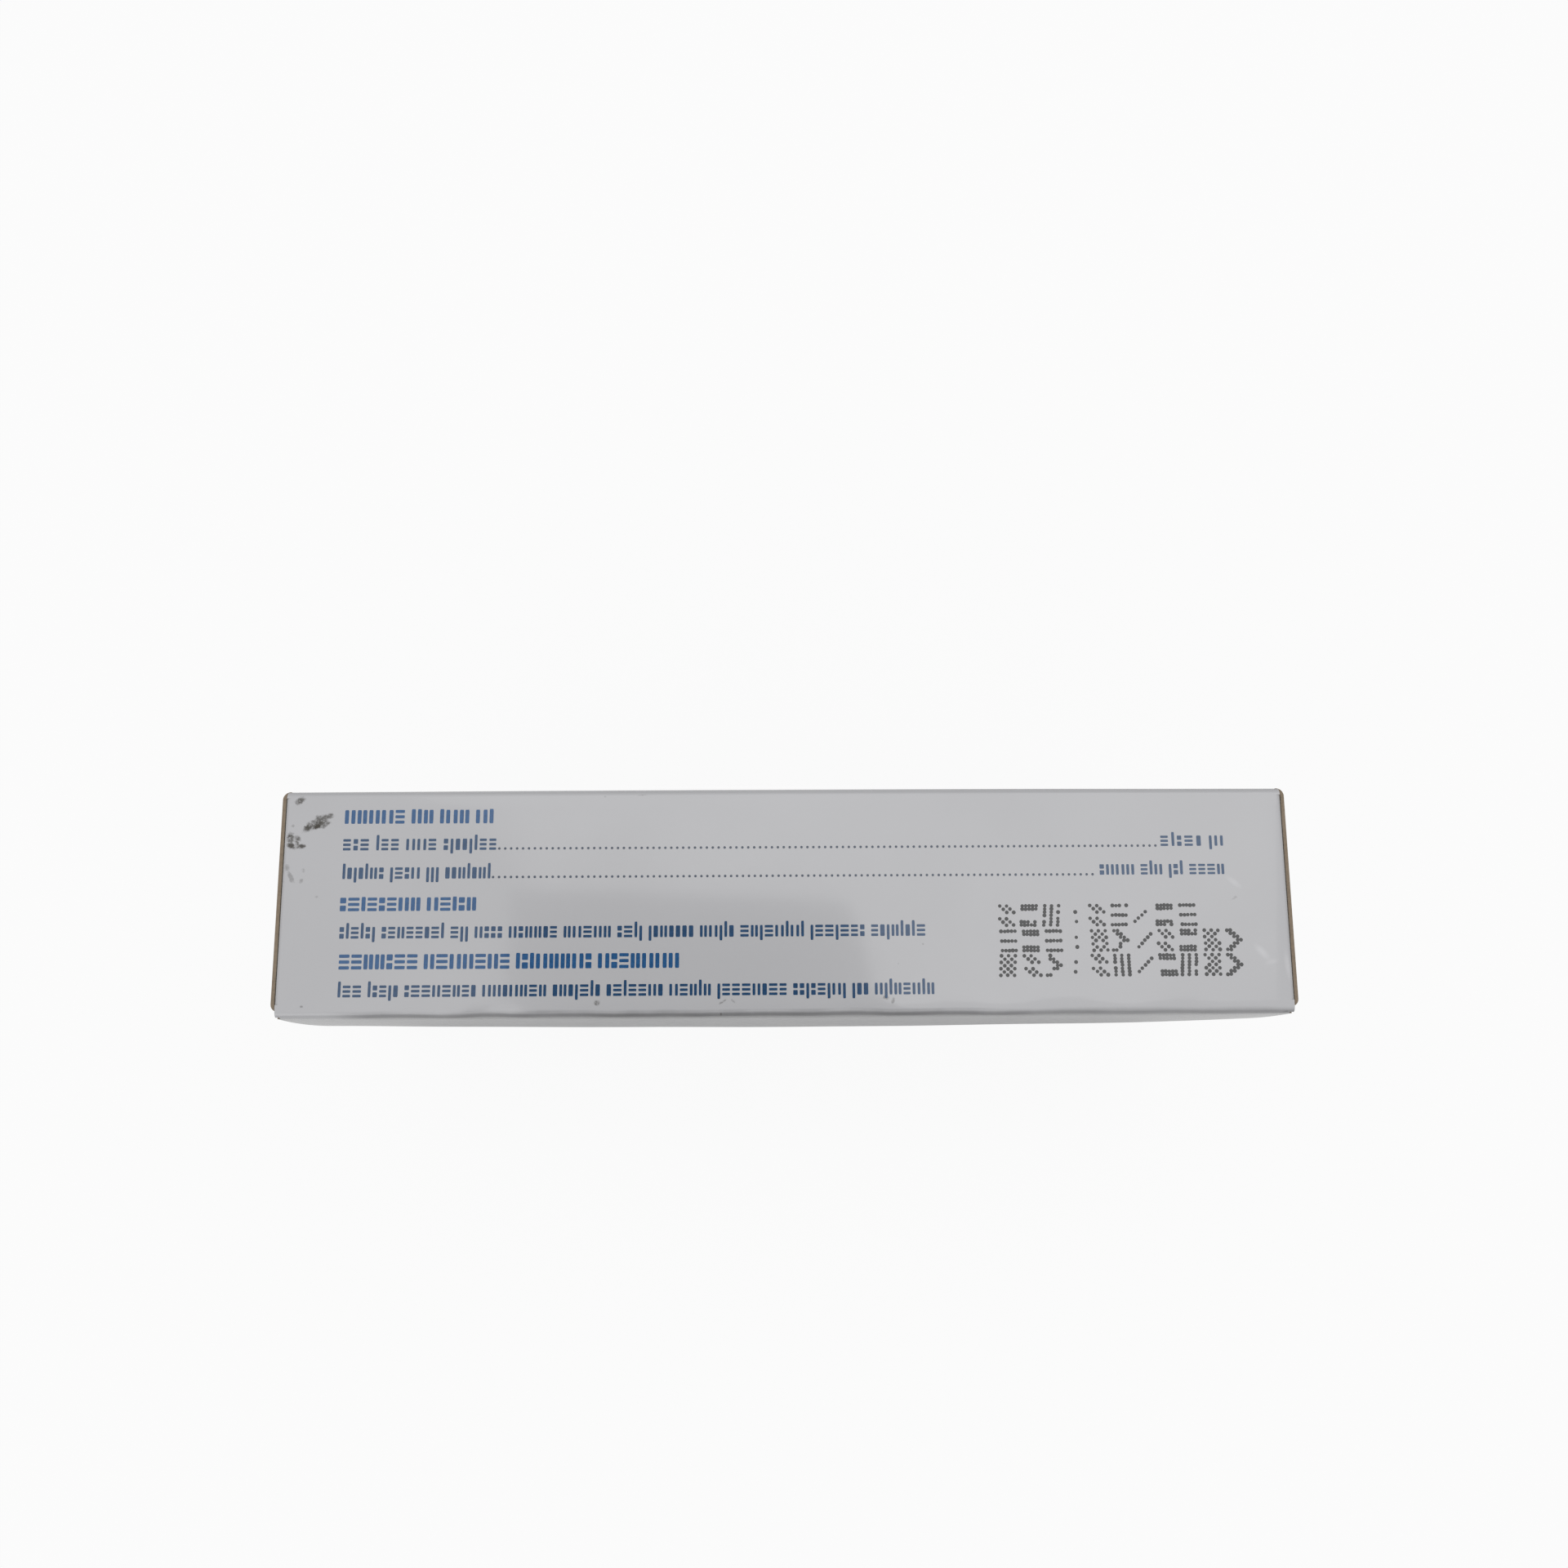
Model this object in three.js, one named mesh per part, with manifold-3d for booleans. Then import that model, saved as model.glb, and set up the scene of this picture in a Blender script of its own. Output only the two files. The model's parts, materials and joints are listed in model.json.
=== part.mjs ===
// A folding carton of tablets, standing on one of its two narrow long sides.
// Millimetres, +Z up. X runs along the carton, Y through its thickness, Z over its depth.
// The origin is the middle of the narrow side that it stands on.
import * as THREE from "three";
import { mergeVertices } from "three/addons/utils/BufferGeometryUtils.js";
import Module from "manifold-3d";

// Tablet
const tabletDiameter = 13;
const tabletThickness = 5.7;
const tabletCrown = 1.2;
const scoreWidth = 1.1;
const scoreDepth = 0.6;

// Blister card: a formed tray of clear sheet, sealed by a foil
const pocketColumns = 5;
const pocketRows = 2;
const pocketSideRoom = 0.35;
const pocketEndRoom = 0.25;
const pocketDraft = 0.8;
const pocketWebAlong = 6;
const pocketWebAcross = 7;
const cardMarginAlong = 3.85;
const cardMarginAcross = 4.2;
const cardCornerRadius = 4;
const traySheet = 0.25;
const foilSheet = 0.1;

// What the carton holds
const cardCount = 3;
const contentGap = 0.2;
const leafletLayers = 8;
const leafletSheet = 0.22;
const leafletSpace = 0.12;
const leafletSideRoom = 2;
const leafletEndRoom = 4;

// Folding boxboard
const board = 0.4;
const foldRadius = 0.8;
const flapFoldRadius = 0.6;
const frontPanelCutBack = 0.75;
const cardEndRoom = 3.4;
const cardHeadRoom = 3.2;
const panelBulge = 1.6;
const glueFlapWidth = 12;
const glueFlapTaper = 3;
const glueFlapEndRoom = 2.5;

// End closures
const creaseGap = 0.1;
const tabClearance = 0.3;
const tabSpring = 2.95;
const tabCornerRadius = 6;
const closureEndClearance = 0.5;
const lockSlitLength = 4.5;
const lockSlitWidth = 0.5;
const dustFlapLength = 18;
const dustFlapShoulder = 3;
const dustFlapTaper = 2.5;
const dustFlapCorner = 2;
const dustFlapClearance = 0.35;

// Facets
const roundSegments = 14;
const foldSegments = 3;
const arcSegments = 8;
const panelStations = 10;
const panelRows = 6;

// Card, stack and carton sizes that follow from those above
const pocketRadius = tabletDiameter / 2 + pocketSideRoom;
const pocketHeight = tabletThickness + 2 * pocketEndRoom;
const pocketMouthRadius = pocketRadius + pocketDraft;
const pitchAlong = 2 * pocketMouthRadius + pocketWebAlong;
const pitchAcross = 2 * pocketMouthRadius + pocketWebAcross;
const cardLength = pocketColumns * pitchAlong - pocketWebAlong + 2 * cardMarginAlong;
const cardWidth = pocketRows * pitchAcross - pocketWebAcross + 2 * cardMarginAcross;
const cardDepth = foilSheet + pocketHeight + traySheet;
const cardPitch = cardDepth + contentGap;
const leafletPitch = leafletSheet + leafletSpace;
const leafletThickness = leafletLayers * leafletPitch - leafletSpace;
const leafletStackRoom = leafletThickness + 3 * contentGap;
const tabStackRoom = tabClearance + tabSpring + board + contentGap;
const frontRoom = Math.max(leafletStackRoom, tabStackRoom);
const cartonLength = cardLength + 2 * cardEndRoom;
const cartonDepth = cardWidth + 2 * board + cardHeadRoom;
const cartonThickness = 3 * board + contentGap + cardCount * cardPitch + frontRoom;
const halfLength = cartonLength / 2;
const halfThickness = cartonThickness / 2;

// The tuck tab follows a circle about the closure's crease, so that it slides out as it turns
const tabRadius = cartonThickness - board - tabClearance;
const tabAngle = Math.acos(1 - tabSpring / tabRadius);
const tabReach = tabRadius * Math.sin(tabAngle);
const leafletLength = cartonLength - 2 * (tabReach + leafletEndRoom);
const leafletDepth = cardWidth - leafletSideRoom;
const dustFlapFace = halfLength - board - creaseGap;

// The cards lie from the glue flap forwards, and the leaflet in front of them
const cardLow = board + contentGap;
const cardRear = halfThickness - 2 * board - contentGap - foilSheet;
const leafletRear = cardRear + foilSheet - cardCount * cardPitch;

const axisX = new THREE.Vector3(1, 0, 0);
const axisY = new THREE.Vector3(0, 1, 0);
const axisZ = new THREE.Vector3(0, 0, 1);
const outlineYZ = new THREE.Matrix4().makeBasis(axisY, axisZ, axisX);
const outlineXZ = new THREE.Matrix4().makeBasis(axisX, axisZ, axisY.clone().negate());

const wasm = await Module();
wasm.setup();

// A closed three.js geometry as a solid that can be joined and cut
function solid(geometry) {
  const bare = geometry.index ? geometry.toNonIndexed() : geometry.clone();
  bare.deleteAttribute("normal");
  bare.deleteAttribute("uv");
  const merged = mergeVertices(bare, 1e-4);
  return new wasm.Manifold(
    new wasm.Mesh({
      numProp: 3,
      vertProperties: merged.attributes.position.array,
      triVerts: new Uint32Array(merged.index.array),
    }),
  );
}

// The surface of a solid, ready for a mesh
function surface(body) {
  const made = body.getMesh();
  const geometry = new THREE.BufferGeometry();
  geometry.setAttribute("position", new THREE.BufferAttribute(new Float32Array(made.vertProperties), 3));
  geometry.setIndex(new THREE.BufferAttribute(new Uint32Array(made.triVerts), 1));
  geometry.computeVertexNormals();
  return geometry;
}

function arc(centreX, centreY, radius, start, end, segments) {
  const points = [];
  for (let i = 0; i <= segments; i++) {
    const angle = start + ((end - start) * i) / segments;
    points.push(new THREE.Vector2(centreX + radius * Math.cos(angle), centreY + radius * Math.sin(angle)));
  }
  return points;
}

function extrude(points, depth, steps = 1) {
  return new THREE.ExtrudeGeometry(new THREE.Shape(points), { depth, steps, bevelEnabled: false });
}

// An outline in Y and Z, extruded along X about the middle
function alongX(points, length, steps) {
  return extrude(points, length, steps).translate(0, 0, -length / 2).applyMatrix4(outlineYZ);
}

// An outline in X and Z, extruded along -Y from a level
function alongY(points, depth, level) {
  return extrude(points, depth).applyMatrix4(outlineXZ).translate(0, level, 0);
}

function box(lowX, highX, lowY, highY, lowZ, highZ) {
  const block = new THREE.BoxGeometry(highX - lowX, highY - lowY, highZ - lowZ);
  return solid(block.translate((lowX + highX) / 2, (lowY + highY) / 2, (lowZ + highZ) / 2));
}

// How far the two large panels bow outwards over what is packed behind them
function bulge(x, z) {
  const lengthShare = 1 - (x / halfLength) ** 2;
  const depthShare = 1 - ((2 * z) / cartonDepth - 1) ** 2;
  return panelBulge * lengthShare * depthShare;
}

function bowPanels(geometry) {
  const position = geometry.attributes.position;
  for (let i = 0; i < position.count; i++) {
    const y = position.getY(i);
    const share = y / halfThickness;
    position.setY(i, y + share * bulge(position.getX(i), position.getZ(i)));
  }
  return geometry;
}

// The carton's section: flat narrow sides, large sides with points to bow, folds rounded
function sectionOutline(inset, radius) {
  const side = halfThickness - inset;
  const low = inset;
  const high = cartonDepth - inset;
  const quarter = Math.PI / 2;
  const rise = (high - low - 2 * radius) / panelRows;
  const points = arc(side - radius, low + radius, radius, -quarter, 0, foldSegments);
  for (let i = 1; i < panelRows; i++) {
    points.push(new THREE.Vector2(side, low + radius + i * rise));
  }
  points.push(...arc(side - radius, high - radius, radius, 0, quarter, foldSegments));
  points.push(...arc(radius - side, high - radius, radius, quarter, 2 * quarter, foldSegments));
  for (let i = panelRows - 1; i > 0; i--) {
    points.push(new THREE.Vector2(-side, low + radius + i * rise));
  }
  points.push(...arc(radius - side, low + radius, radius, 2 * quarter, 3 * quarter, foldSegments));
  return points;
}

// The four long panels, as one tube of board
function panelTube() {
  const shape = new THREE.Shape(sectionOutline(0, foldRadius));
  shape.holes.push(new THREE.Path(sectionOutline(board, foldRadius - board)));
  const settings = { depth: cartonLength, steps: panelStations, bevelEnabled: false };
  const tube = new THREE.ExtrudeGeometry(shape, settings);
  tube.translate(0, 0, -halfLength).applyMatrix4(outlineYZ);
  return solid(bowPanels(tube));
}

// The glue flap runs inside the rear panel, next to the side that the carton stands on
function glueFlap() {
  const outer = halfThickness - board / 2;
  const inner = halfThickness - 2 * board;
  const low = board / 2;
  const high = board + glueFlapWidth;
  const length = cartonLength - 2 * glueFlapEndRoom;
  const outline = [
    new THREE.Vector2(inner, low),
    new THREE.Vector2(outer, low),
    new THREE.Vector2(outer, (low + high) / 2),
    new THREE.Vector2(outer, high),
    new THREE.Vector2(inner, high),
    new THREE.Vector2(inner, (low + high) / 2),
  ];
  const flap = alongX(outline, length, panelStations);
  const position = flap.attributes.position;
  for (let i = 0; i < position.count; i++) {
    const drawIn = (glueFlapTaper * position.getZ(i)) / high;
    position.setX(i, position.getX(i) * (1 - (2 * drawIn) / length));
  }
  return solid(bowPanels(flap));
}

// One dust flap with its fold. end is -1 or 1 along X, top says which narrow side carries it.
function dustFlap(end, top) {
  const lay = (x, z) => new THREE.Vector2(end * x, top ? z : cartonDepth - z);
  const reach = (points) => points.map((p) => lay(p.x, p.y));
  const foldX = dustFlapFace - flapFoldRadius;
  const foldZ = cartonDepth - flapFoldRadius;
  const free = cartonDepth - dustFlapLength;
  const rear = halfThickness - board - creaseGap;
  const front = halfThickness - tabRadius + board + dustFlapClearance;
  const quarter = Math.PI / 2;
  const bent = [
    new THREE.Vector2(foldX - board, cartonDepth),
    ...arc(foldX, foldZ, flapFoldRadius, quarter, 0, foldSegments),
    new THREE.Vector2(dustFlapFace, free),
    new THREE.Vector2(dustFlapFace - board, free),
    ...arc(foldX, foldZ, flapFoldRadius - board, 0, quarter, foldSegments),
    new THREE.Vector2(foldX - board, cartonDepth - board),
  ];
  const sheet = solid(alongY(reach(bent), rear - front, rear));
  const shoulder = foldZ - dustFlapShoulder;
  const taperRear = rear - dustFlapTaper;
  const taperFront = front + dustFlapTaper;
  const flat = new THREE.Shape();
  flat.moveTo(front, cartonDepth + board);
  flat.lineTo(rear, cartonDepth + board);
  flat.lineTo(rear, shoulder);
  flat.lineTo(taperRear, free + dustFlapCorner);
  flat.quadraticCurveTo(taperRear, free, taperRear - dustFlapCorner, free);
  flat.lineTo(taperFront + dustFlapCorner, free);
  flat.quadraticCurveTo(taperFront, free, taperFront, free + dustFlapCorner);
  flat.lineTo(front, shoulder);
  const outline = flat.getPoints(foldSegments).map((p) => new THREE.Vector2(p.x, top ? p.y : cartonDepth - p.y));
  const cutter = solid(alongX(outline, cartonLength, 1));
  return sheet.intersect(cutter);
}

// The sleeve is one folded sheet: four panels, the glue flap and four dust flaps.
// The front panel stops short of the closures, which fold round its ends.
function cartonSleeve() {
  let sleeve = panelTube().add(glueFlap());
  const inner = halfThickness - board;
  for (const end of [-1, 1]) {
    const notchFrom = end * (dustFlapFace - flapFoldRadius);
    const notchTo = end * (halfLength + board);
    const lowX = Math.min(notchFrom, notchTo);
    const highX = Math.max(notchFrom, notchTo);
    const lower = box(lowX, highX, -inner, inner, -board, 2 * board);
    const upper = box(lowX, highX, -inner, inner, cartonDepth - 2 * board, cartonDepth + board);
    const cutFrom = end * (halfLength - frontPanelCutBack);
    const front = box(Math.min(cutFrom, notchTo), Math.max(cutFrom, notchTo), -cartonThickness, 0, -board, cartonDepth + board);
    sleeve = sleeve.subtract(lower).subtract(upper).subtract(front);
    for (const top of [false, true]) {
      sleeve = sleeve.add(dustFlap(end, top));
    }
  }
  return surface(sleeve);
}

// An end closure: the panel over the end and the tab that tucks in behind the front panel
function closureFlap(end) {
  const across = Math.sqrt((tabRadius - foldRadius) ** 2 - foldRadius ** 2);
  const foldX = halfLength - foldRadius;
  const foldY = halfThickness - across;
  const tangent = Math.atan2(foldRadius, across);
  const down = -Math.PI / 2;
  const creaseY = halfThickness - board - creaseGap;
  const side = (thickness) => [
    new THREE.Vector2(halfLength - thickness, creaseY),
    ...arc(foldX, foldY, foldRadius - thickness, 0, down - tangent, foldSegments + 1),
    ...arc(halfLength, halfThickness, tabRadius - thickness, down - tangent, down - tabAngle, arcSegments).slice(1),
  ];
  const profile = [...side(0), ...side(board).reverse()];
  const height = cartonDepth - 2 * closureEndClearance;
  const mirrored = profile.map((p) => new THREE.Vector2(end * p.x, p.y));
  const bent = solid(extrude(mirrored, height).translate(0, 0, closureEndClearance));
  const flat = new THREE.Shape();
  const low = closureEndClearance;
  const high = cartonDepth - closureEndClearance;
  const free = halfLength - tabReach - board;
  flat.moveTo(halfLength + board, low - board);
  flat.lineTo(halfLength + board, high + board);
  flat.lineTo(foldX, high + board);
  flat.lineTo(foldX, high - tabClearance);
  flat.lineTo(free + tabCornerRadius, high - tabClearance);
  flat.quadraticCurveTo(free, high - tabClearance, free, high - tabCornerRadius);
  flat.lineTo(free, low + tabCornerRadius);
  flat.quadraticCurveTo(free, low + tabClearance, free + tabCornerRadius, low + tabClearance);
  flat.lineTo(foldX, low + tabClearance);
  flat.lineTo(foldX, low - board);
  const outline = flat.getPoints(arcSegments).map((p) => new THREE.Vector2(end * p.x, p.y));
  let flap = bent.intersect(solid(alongY(outline, 2 * cartonThickness, cartonThickness)));
  const slitFrom = end * (foldX - lockSlitWidth);
  const slitTo = end * foldX;
  for (const [lowZ, highZ] of [
    [low - board, low + lockSlitLength],
    [high - lockSlitLength, high + board],
  ]) {
    const slit = box(Math.min(slitFrom, slitTo), Math.max(slitFrom, slitTo), -cartonThickness, foldY, lowZ, highZ);
    flap = flap.subtract(slit);
  }
  return surface(flap);
}

// Rounded outline of a card in X and Z
function cardOutline() {
  const x = cardLength / 2 - cardCornerRadius;
  const low = cardLow + cardCornerRadius;
  const high = cardLow + cardWidth - cardCornerRadius;
  const quarter = Math.PI / 2;
  return [
    ...arc(x, low, cardCornerRadius, -quarter, 0, foldSegments),
    ...arc(x, high, cardCornerRadius, 0, quarter, foldSegments),
    ...arc(-x, high, cardCornerRadius, quarter, 2 * quarter, foldSegments),
    ...arc(-x, low, cardCornerRadius, 2 * quarter, 3 * quarter, foldSegments),
  ];
}

// A pocket's shape about its own axis, from its mouth to its crown. The mouth lies at the level given.
function pocketForm(thickness, mouth) {
  const radius = pocketRadius + thickness;
  const tip = -(pocketHeight + thickness);
  const shoulder = tip + tabletCrown + thickness;
  const profile = [
    new THREE.Vector2(0, tip),
    new THREE.Vector2(radius * 0.62, tip + tabletCrown * 0.38),
    new THREE.Vector2(radius, shoulder),
    new THREE.Vector2(radius + pocketDraft, mouth),
    new THREE.Vector2(0, mouth),
  ];
  return new THREE.LatheGeometry(profile, roundSegments);
}

// Middles of the pockets in X and Z
function pocketPlaces() {
  const places = [];
  for (let row = 0; row < pocketRows; row++) {
    for (let column = 0; column < pocketColumns; column++) {
      const x = (column - (pocketColumns - 1) / 2) * pitchAlong;
      const z = cardLow + cardWidth / 2 + (row - (pocketRows - 1) / 2) * pitchAcross;
      places.push([x, z]);
    }
  }
  return places;
}

// The tray's sealing face lies at Y 0 and its pockets reach towards -Y
function blisterTray() {
  let tray = solid(alongY(cardOutline(), traySheet, 0));
  const shell = pocketForm(traySheet, -traySheet / 2);
  const hollow = pocketForm(0, traySheet);
  for (const [x, z] of pocketPlaces()) {
    tray = tray.add(solid(shell.clone().translate(x, 0, z)));
  }
  for (const [x, z] of pocketPlaces()) {
    tray = tray.subtract(solid(hollow.clone().translate(x, 0, z)));
  }
  return surface(tray);
}

function liddingFoil() {
  return surface(solid(alongY(cardOutline(), foilSheet, foilSheet)));
}

// A round biconvex tablet about the Y axis, with a break line over its crown
function tablet() {
  const radius = tabletDiameter / 2;
  const half = tabletThickness / 2;
  const rim = half - tabletCrown;
  const shoulder = rim + tabletCrown * 0.62;
  const profile = [
    new THREE.Vector2(0, -half),
    new THREE.Vector2(radius * 0.62, -shoulder),
    new THREE.Vector2(radius, -rim),
    new THREE.Vector2(radius, rim),
    new THREE.Vector2(radius * 0.62, shoulder),
    new THREE.Vector2(0, half),
  ];
  const body = solid(new THREE.LatheGeometry(profile, roundSegments));
  const groove = [
    new THREE.Vector2(-scoreWidth, -half - scoreDepth),
    new THREE.Vector2(scoreWidth, -half - scoreDepth),
    new THREE.Vector2(0, scoreDepth - half),
  ];
  const cutter = extrude(groove, 2 * tabletDiameter).translate(0, 0, -tabletDiameter);
  return surface(body.subtract(solid(cutter)));
}

// The leaflet is one long sheet, folded to and fro
function leaflet() {
  const low = cardLow + leafletSheet / 2 + leafletPitch / 2;
  const high = low + leafletDepth - leafletSheet - leafletPitch;
  const rear = leafletRear - leafletSheet / 2;
  const spine = [];
  for (let layer = 0; layer < leafletLayers; layer++) {
    const y = rear - layer * leafletPitch;
    const up = layer % 2 === 0;
    const facing = new THREE.Vector2(up ? -1 : 1, 0);
    spine.push([new THREE.Vector2(y, up ? low : high), facing]);
    spine.push([new THREE.Vector2(y, up ? high : low), facing]);
    if (layer === leafletLayers - 1) break;
    const turn = up ? Math.PI : -Math.PI;
    const centre = y - leafletPitch / 2;
    for (const p of arc(0, 0, 1, 0, turn, foldSegments + 1).slice(1, -1)) {
      const place = new THREE.Vector2(centre, up ? high : low).addScaledVector(p, leafletPitch / 2);
      spine.push([place, p.multiplyScalar(up ? -1 : 1)]);
    }
  }
  const offset = (side) => spine.map(([place, facing]) => place.clone().addScaledVector(facing, side));
  const outline = [...offset(leafletSheet / 2), ...offset(-leafletSheet / 2).reverse()];
  return surface(solid(alongX(outline, leafletLength, 1)));
}

const boardWhite = { color: 0xb9b9bc, roughness: 0.32, metalness: 0 };
const clearSheet = { color: 0xdfe6ea, roughness: 0.15, metalness: 0, transparent: true, opacity: 0.45 };
const foilSilver = { color: 0xc4c6c9, roughness: 0.3, metalness: 0.9 };
const tabletWhite = { color: 0xf1efe9, roughness: 0.75, metalness: 0 };
const leafletPaper = { color: 0xe9e8e2, roughness: 0.9, metalness: 0 };

const carton = new THREE.Group();

function place(name, geometry, look, parent) {
  const mesh = new THREE.Mesh(geometry, new THREE.MeshStandardMaterial(look));
  mesh.name = name;
  parent.add(mesh);
  return mesh;
}

place("carton_sleeve", cartonSleeve(), boardWhite, carton);
place("closure_flap_left", closureFlap(-1), boardWhite, carton);
place("closure_flap_right", closureFlap(1), boardWhite, carton);
place("leaflet", leaflet(), leafletPaper, carton);

const trayForm = blisterTray();
const foilForm = liddingFoil();
const tabletForm = tablet();
for (let card = 0; card < cardCount; card++) {
  const blister = new THREE.Group();
  blister.position.y = cardRear - card * cardPitch;
  place("blister_tray_" + (card + 1), trayForm, clearSheet, blister);
  place("lidding_foil_" + (card + 1), foilForm, foilSilver, blister);
  pocketPlaces().forEach(([x, z], i) => {
    const number = String(card * pocketColumns * pocketRows + i + 1).padStart(2, "0");
    const made = place("tablet_" + number, tabletForm, tabletWhite, blister);
    made.position.set(x, -pocketEndRoom - tabletThickness / 2, z);
  });
  carton.add(blister);
}

export default carton;
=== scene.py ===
"""A folding carton of tablets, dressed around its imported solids. Metres, in the solids' own frame."""

import json
import math
import random

import bmesh
import bpy
from mathutils import Matrix, Vector


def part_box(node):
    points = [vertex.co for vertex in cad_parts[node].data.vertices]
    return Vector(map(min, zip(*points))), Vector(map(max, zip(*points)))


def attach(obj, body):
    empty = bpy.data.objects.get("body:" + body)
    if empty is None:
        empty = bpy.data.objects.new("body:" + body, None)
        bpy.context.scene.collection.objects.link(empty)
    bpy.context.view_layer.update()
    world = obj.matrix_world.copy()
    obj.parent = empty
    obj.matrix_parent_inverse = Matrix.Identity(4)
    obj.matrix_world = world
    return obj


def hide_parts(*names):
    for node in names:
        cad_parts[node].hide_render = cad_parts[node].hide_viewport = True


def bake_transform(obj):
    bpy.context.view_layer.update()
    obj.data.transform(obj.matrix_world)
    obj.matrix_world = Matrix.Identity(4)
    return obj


bl_info = {
    "name": "Carton of tablets",
    "version": (1, 0, 0),
    "blender": (4, 5, 0),
    "location": "3D View > Sidebar > Carton",
    "description": "Dresses a tuck end carton, its blister cards and its leaflet",
    "category": "Object",
}

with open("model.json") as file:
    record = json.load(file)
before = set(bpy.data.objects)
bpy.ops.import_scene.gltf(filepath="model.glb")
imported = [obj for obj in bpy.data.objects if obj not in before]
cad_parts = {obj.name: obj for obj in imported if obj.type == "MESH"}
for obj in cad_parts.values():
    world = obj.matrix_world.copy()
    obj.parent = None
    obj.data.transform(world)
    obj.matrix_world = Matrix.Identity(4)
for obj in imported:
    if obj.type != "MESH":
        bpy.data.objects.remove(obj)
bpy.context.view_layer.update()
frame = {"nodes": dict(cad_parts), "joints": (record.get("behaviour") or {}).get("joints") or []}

MM = 0.001
HINGES = {joint["child"]: Vector(joint["pos_m"]) for joint in frame["joints"]}
SLEEVE_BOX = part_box("carton_sleeve")
HALF_LENGTH = HINGES["closure_right"].x
HALF_THICKNESS = HINGES["closure_right"].y
DEPTH = SLEEVE_BOX[1].z
BULGE = SLEEVE_BOX[1].y - HALF_THICKNESS


def millimetres(label, words, value, low=0.0, high=200.0):
    """A size that the user may change, in millimetres."""
    return bpy.props.FloatProperty(
        name=label, description=words, default=value, min=low, max=high, unit="NONE"
    )


def colour(label, words, value):
    """A colour that the user may change."""
    return bpy.props.FloatVectorProperty(
        name=label, description=words, default=value, size=3, subtype="COLOR"
    )


class CartonSettings(bpy.types.PropertyGroup):
    board: millimetres("Board", "Thickness of the folding board, mm", 0.4)
    fold: millimetres("Fold radius", "Outside radius of the four long folds, mm", 0.8)
    flap_fold: millimetres("Flap fold radius", "Outside radius of the dust flaps' folds, mm", 0.6)
    cut_back: millimetres("Front cut back", "How far the front panel stops short of the closures, mm", 0.75)
    crease: millimetres("Closure crease", "Radius that a closure's crease is pressed to, mm", 0.9)
    crease_gap: millimetres("Crease gap", "Play between a dust flap and the closure over it, mm", 0.1)
    tab_clearance: millimetres("Tab clearance", "Play between the tuck tab and the front panel, mm", 0.3)
    tab_corner: millimetres("Tab corner", "Radius of the tuck tab's free corners, mm", 6.0)
    slit_length: millimetres("Lock slit", "Length of the slit at each end of the tab's fold, mm", 4.5)
    slit_width: millimetres("Lock slit width", "Width of that slit, mm", 0.5)
    dust_length: millimetres("Dust flap", "Length of a dust flap from its fold, mm", 18.0)
    dust_shoulder: millimetres("Dust flap shoulder", "From the fold to where the sides draw in, mm", 3.0)
    dust_taper: millimetres("Dust flap taper", "How far each side draws in, mm", 2.5)
    dust_corner: millimetres("Dust flap corner", "Radius of a dust flap's free corners, mm", 2.0)
    dust_clearance: millimetres("Dust flap clearance", "Between a dust flap and the tuck tab, mm", 0.35)
    glue_width: millimetres("Glue flap", "Width of the glued seam flap, mm", 12.0)
    glue_taper: millimetres("Glue flap taper", "How far each of its ends draws in, mm", 3.0)
    glue_end_room: millimetres("Glue flap end room", "From the carton's end to the glue flap, mm", 2.5)
    corner_lap: millimetres("Corner lap", "How far the long folds pass the dust flaps' folds, mm", 0.45)
    wave: millimetres("Wave", "Height of the slow waves in the board's faces, mm", 0.06)
    dent: millimetres("Dents", "Depth of the small dents along the front fold, mm", 0.2)
    coated: colour("Coated white", "Printed side of the board", (0.46, 0.46, 0.475))
    inside: colour("Inside", "Uncoated side of the board", (0.4, 0.36, 0.295))
    edge: colour("Cut edge", "Raw edge of the board", (0.25, 0.195, 0.14))
    dirt: colour("Dirt", "Dark smudges on the printed side", (0.03, 0.024, 0.015))


class PrintSettings(bpy.types.PropertyGroup):
    bold: colour("Bold blue", "Heading bars", (0.003, 0.066, 0.19))
    light: colour("Text blue", "Line bars", (0.006, 0.046, 0.12))
    leader: colour("Leader grey", "Leader dots", (0.03, 0.045, 0.075))
    batch: colour("Batch black", "Dot matrix block", (0.006, 0.0065, 0.008))
    film: millimetres("Ink film", "How far the ink stands off the board, mm", 0.012)
    bold_stroke: millimetres("Bold stroke", "Width of a bar in a heading, mm", 0.45)
    light_stroke: millimetres("Light stroke", "Width of a bar in a line, mm", 0.31)
    leader_dot: millimetres("Leader dot", "Width of a leader dot, mm", 0.3)
    leader_pitch: millimetres("Leader pitch", "From one leader dot to the next, mm", 0.673)
    dot: millimetres("Matrix dot", "Width of one dot of the batch block, mm", 0.43)
    seed: bpy.props.IntProperty(name="Seed", description="Seed of the word lengths and dot marks", default=7)


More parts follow.
